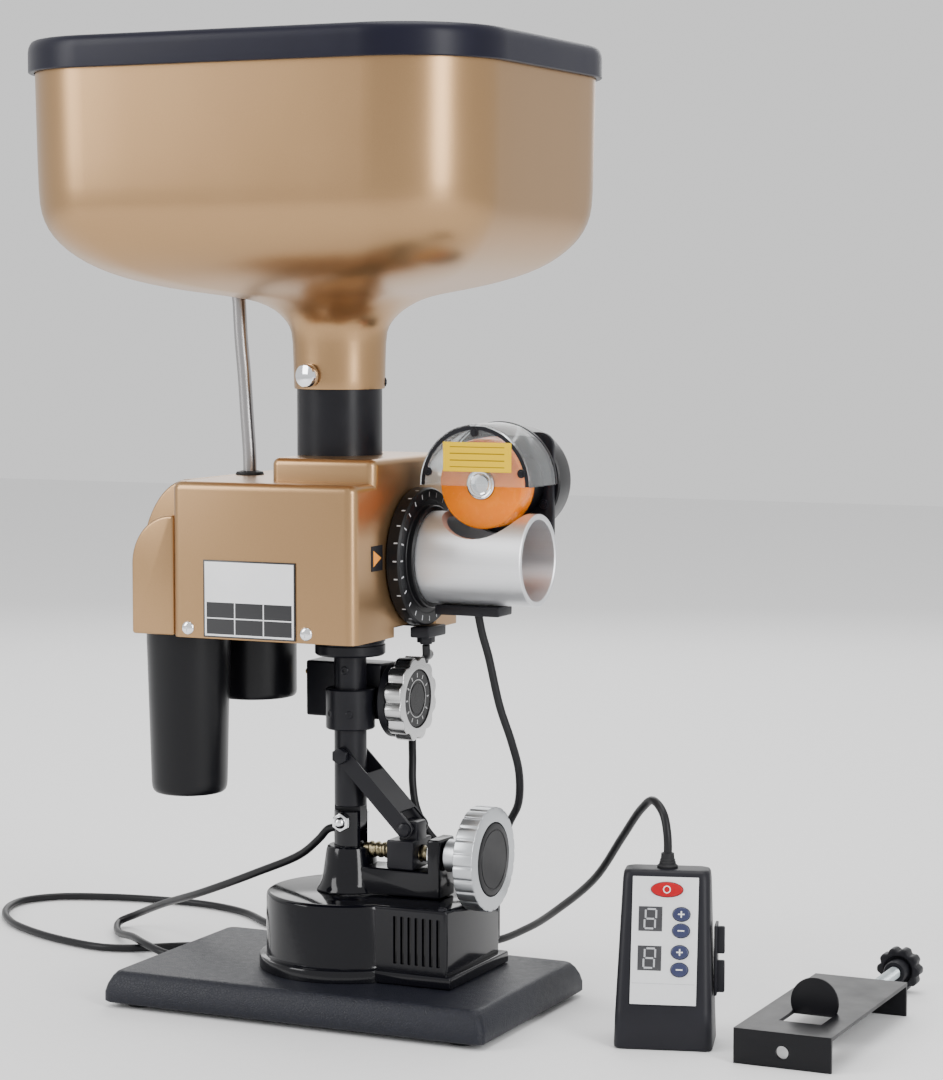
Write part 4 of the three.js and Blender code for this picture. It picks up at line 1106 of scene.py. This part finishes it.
def make_guard():
    shell = turned("guard_half", "y", (0, 0, 0), [
        (0, -17), (31.4, -17), (32.3, -16.6), (32.5, -15.8), (32.5, 18), (30.9, 18), (30.9, -15.4),
        (0, -15.4)], 96)
    put(shell, *WHEEL_AXIS)
    shell = carve(shell, block("below", 40, 130, -20, 22, 240, 289))
    fit(shell, "wheel_guard", "launcher", CLEAR, 30)
    band = turned("guard_band", "y", WHEEL_AXIS, [
        (29.4, -17.05), (31.5, -17.05), (31.5, -16.9), (29.4, -16.9), (29.4, -17.05)], 96)
    band = carve(band, block("below", 40, 130, -20, 22, 240, 289.2))
    fit(band, None, "launcher", SATIN, 30)
    rear = turned("guard_rear_band", "y", WHEEL_AXIS, [
        (32.4, 16.2), (32.9, 16.2), (32.9, 18), (32.4, 18), (32.4, 16.2)], 96)
    rear = carve(rear, block("below", 40, 130, -20, 22, 240, 289.2))
    fit(rear, None, "launcher", SATIN, 30)
    sticker = block("caution_sticker", 65, 105, -17.25, -17.02, 296.6, 312.4, 0.06, 1)
    fit(sticker, None, "launcher", STICKER, 30)
    for i, a in enumerate((14, 90, 166), 1):
        a = math.radians(a)
        spot = (WHEEL_AXIS[0] + 28.2 * math.cos(a), -17, WHEEL_AXIS[2] + 28.2 * math.sin(a))
        head = turned(f"guard_screw_{i}", "y", spot, [
            (0, -1.5), (1.3, -1.5), (1.4, -1.0), (2.1, -1.0), (2.4, -0.6), (2.4, 0), (0, 0)], 28)
        fit(head, None, "launcher", SATIN)


def make_wheel():
    tyre = turned("friction_tyre", "y", WHEEL_AXIS, [
        (8.3, -9), (22.6, -9), (23.6, -8.6), (24, -7.6), (24, 7.6), (23.6, 8.6), (22.6, 9), (8.3, 9),
        (8.3, -9)], 96)
    fit(tyre, "friction_wheel", "launch_wheel", ORANGE)
    hub = turned("wheel_hub_chrome", "y", WHEEL_AXIS, [
        (0, -7.6), (4.4, -7.6), (4.6, -9.8), (5.4, -10.2), (6.0, -9.7), (6.6, -9.7), (7.2, -10.1),
        (7.9, -9.7), (8, -8.8), (8, 10.8), (7.6, 11.2), (0, 11.2)], 72)
    fit(hub, "wheel_hub", "launch_wheel", CHROME)


# ---------- control box ----------
BOX_TURN = Euler((0, 0, math.radians(16.3)))
LEAN = math.atan2(18, 70.5)


def set_box(piece):
    return put(piece, 198.5, -33.7, 0, BOX_TURN)


def on_face(piece, across, up):
    """From the sloping face's own coordinates to the floor beside the machine."""
    put(piece, across, 0.8 + up * math.sin(LEAN), 20.5 + up * math.cos(LEAN),
        Euler((math.pi / 2 - LEAN, 0, 0)))
    return set_box(piece)


KEYS = [
    ("power", 0.8, 62.8, 16.6, 7.6), ("speed_up", 8.6, 50.2, 9, 7.2), ("speed_down", 8.6, 41.7, 9, 7.2),
    ("rate_up", 8.2, 30.6, 9, 7.2), ("rate_down", 8.2, 21.6, 9, 7.2),
]


def oval(name, w, h, low, high, grow=0.0, edge=0.0):
    piece = rod(name, "z", 1 / MM, low, high, (0, 0, 0), 56)
    piece.scale = ((w / 2 + grow) * MM, (h / 2 + grow) * MM, 1)
    settle(piece)
    return ease(piece, edge, 3, 60) if edge else piece


def digit(name):
    """The seven segments of a slanted eight: each one's centre and half sizes."""
    segments = ((0.6, 5, 2.2, 0.45), (3.0, 2.5, 0.45, 2.1), (2.5, -2.5, 0.45, 2.1), (-0.6, -5, 2.2, 0.45),
                (-3.0, -2.5, 0.45, 2.1), (-2.5, 2.5, 0.45, 2.1), (0, 0, 2.0, 0.45))
    return gather(name, *(block("bar", x - w, x + w, y - h, y + h, 1.46, 1.58, 0.03, 1)
                          for x, y, w, h in segments))


def make_control_box():
    def width(z):
        return 51.5 - 6 * z / 91
    rows = []
    for z, front, less in ((0, 1.6, 1.2), (0.8, 0.4, 0.2), (1.8, 0, 0), (18.5, 0.1, 0), (20.5, 0.8, 0),
                           (24, 1.7, 0), (86, 17.2, 0), (89.4, 18.4, 0.6), (90.6, 19.6, 1.8), (91, 21.4, 4)):
        half = (width(z) - less) / 2
        rows.append((-half, half, front, 36 - less / 2, 4.5, z))
    shell = set_box(skinned("control_case", rows, 6))
    wells = [on_face(oval("well", w, h, -2.8, 2, 0.3), x, s) for _, x, s, w, h in KEYS]
    shell = carve(shell, *wells)
    fit(shell, "control_box", "control_unit", SHELL, 35)
    sheet = block("sheet", -17.2, 17.2, -33, 33, 0.3, 1.2, 0.25, 2)
    for _, x, s, w, h in KEYS:
        carve(sheet, put(oval("hole", w, h, -2, 3, 0.3), x, s - 36.4, 0))
    backing = block("film_bed", -16, 16, -31.6, 31.6, -0.9, 0.4)
    for _, x, s, w, h in KEYS:
        carve(backing, put(oval("hole", w, h, -2, 3, 0.5), x, s - 36.4, 0))
    sheet = on_face(gather("control_panel_film", sheet, backing), 0, 36.4)
    fit(sheet, "control_panel", "control_unit", SILVER, 30)
    for name, across, up in (("speed", -7.5, 47.5), ("rate", -7.5, 27.2)):
        glass = on_face(block(f"{name}_window", -6.2, 6.2, -6.4, 6.4, 1.0, 1.45, 0.2, 2), across, up)
        fit(glass, None, "control_unit", WINDOW, 30)
        eight = on_face(digit(f"{name}_digit"), across, up)
        fit(eight, None, "control_unit", UNLIT, 30)
    rule = on_face(block("panel_rule", -16.4, 16.4, -0.12, 0.12, 1.15, 1.24), 0, 14.2)
    fit(rule, None, "control_unit", UNLIT, 30)
    for name, x, s, w, h in KEYS:
        red = name == "power"
        key = on_face(oval(f"key_{name}", w, h, -1.4, 2.3, 0, 0.7), x, s)
        fit(key, f"button_{name}", f"switch_{name}", RED if red else SLATE, 40)
        if red:
            mark = turned("power_mark", "z", (0, 0, 0), [
                (1.5, 2.28), (2.0, 2.28), (2.0, 2.42), (1.5, 2.42), (1.5, 2.28)], 40)
        else:
            mark = block("mark", -1.7, 1.7, -0.32, 0.32, 2.28, 2.4)
            if name.endswith("up"):
                mark = weld(mark, block("upright", -0.32, 0.32, -1.7, 1.7, 2.28, 2.4))
        mark.name = mark.data.name = f"mark_{name}"
        fit(on_face(mark, x, s), None, f"switch_{name}", WHITE, 30)
    side = 25.25
    tabs = [block("tab", side, side + 5.4, 20, 23, a, b, 0.8) for a, b in ((27, 44), (47.5, 62))]
    plate = block("tab_plate", side, side + 1.6, 16, 30, 26, 63, 0.5)
    hanger = set_box(gather("hanger_tabs", plate, *tabs))
    fit(hanger, "box_hanger", "control_unit", SHELL, 30)
    relief = turned("cord_relief", "z", (0, 0, 0), [
        (2.4, 91), (5.4, 91), (5.6, 92), (4.4, 93), (4.4, 94), (4.0, 94.4), (4.0, 95.4), (3.6, 95.8),
        (3.4, 98.6), (2.4, 99), (2.4, 91)], 36)
    put(relief, 190.6, -7, 0)
    fit(relief, None, "control_unit", RUBBER, 40)


# ---------- table clamp ----------
def make_clamp():
    top = block("clamp_top", 240, 292, -41, 92, 16.5, 18.5)
    near = block("near_flange", 240, 292, -41, -39, 0.2, 18.5)
    far = block("far_flange", 240, 292, 90, 92, 0.2, 18.5)
    sheet = weld(top, near, far)
    sheet = carve(sheet, block("window", 256, 279, -17, 8, 14, 20),
                  rod("near_hole", "y", 3.4, -43, -37, (266, 0, 8.2), 40),
                  rod("far_hole", "y", 3.9, 88, 94, CLAMP_AXIS, 40))
    ease(sheet, 0.7, 3, 50)
    tongue = rod("tongue", "y", 13, 7.4, 9.4, (267, 0, 23.5), 72)
    tongue = ease(carve(tongue, block("below", 250, 290, 0, 20, -10, 17)), 0.5, 2, 50)
    fit(gather("clamp_sheet", sheet, tongue), "clamp_bracket", "clamp", FLAT, 30)
    screw = threaded("clamp_thread", "y", CLAMP_AXIS, 3.0, 3.5, CLAMP_PITCH, 75, 147, 28)
    tip = turned("clamp_tip", "y", CLAMP_AXIS, [(0, 71), (2.0, 71), (2.6, 71.6), (2.6, 76), (0, 76)], 32)
    fit(gather("clamp_screw_zinc", screw, tip), "clamp_screw", "clamp_screw_body", CLEAR_ZINC, 28)
    star = lobed("star", "y", CLAMP_AXIS, 10, 12.4, 1.7, 141, 150, 1.1)
    dish = turned("dish", "y", CLAMP_AXIS, [
        (0, 140), (8.6, 140), (8.2, 142.6), (6.8, 143.2), (0, 143.2)], 56)
    star = carve(star, dish)
    boss = turned("star_boss", "y", CLAMP_AXIS, [
        (3.7, 134), (5.8, 134), (6.4, 134.8), (6.4, 142), (7.4, 144), (3.7, 144), (3.7, 134)], 48)
    fit(gather("star_knob_black", star, boss), "star_knob", "clamp_knob", MOULDED, 40)


for build in (make_base_plate, make_feet, make_housing, make_inlet, make_post, make_pivot_bolt, make_screw,
              make_elevation_knob, make_nut_and_strut, make_mast, make_sweep_parts, make_cover,
              make_rear_covers, make_head_fittings, make_hopper, make_launcher, make_guard, make_wheel,
              make_control_box, make_clamp):
    build()

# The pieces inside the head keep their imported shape.
for node, finish in (("head_tray", SATIN), ("ball_channel", MOULDED), ("feed_rotor", MOULDED)):
    hidden = bpy.data.objects[node]
    for slot in hidden.material_slots:
        slot.material = finish


# ---------- studio ----------
def soft_light(name, spot, aim, size, power, tint=(1, 1, 1)):
    bpy.ops.object.light_add(type="AREA", location=spot)
    lamp = bpy.context.object
    lamp.name = name
    lamp.data.shape = "RECTANGLE"
    lamp.data.size, lamp.data.size_y = size
    lamp.data.energy = power
    lamp.data.color = tint
    lamp.rotation_euler = (Vector(aim) - Vector(spot)).to_track_quat("-Z", "Y").to_euler()


def set_up_studio():
    clear_bench()
    bpy.ops.mesh.primitive_plane_add(size=8, location=(0, 0, 0))
    floor = label("floor")
    bpy.ops.object.mode_set(mode="EDIT")
    bpy.ops.mesh.subdivide(number_cuts=3)
    bpy.ops.object.mode_set(mode="OBJECT")
    settle(floor)
    dress(floor, pale_floor())
    soft_light("key_panel", (-1.3, -1.3, 1.1), (0, 0, 0.3), (0.7, 1.4), 22)
    soft_light("side_panel", (1.8, -0.9, 0.9), (0, 0, 0.3), (0.5, 1.4), 26)
    soft_light("top_panel", (0.1, 0.1, 2.0), (0, 0, 0.2), (1.2, 1.2), 22)
    soft_light("back_panel", (-0.6, 1.6, 1.0), (0, 0, 0.3), (1.4, 1.0), 10)
    world = bpy.data.worlds.new("studio_air")
    world.use_nodes = True
    world.node_tree.nodes["Background"].inputs[0].default_value = (1.0, 1.0, 1.0, 1)
    world.node_tree.nodes["Background"].inputs[1].default_value = 0.95
    bpy.context.scene.world = world


set_up_studio()
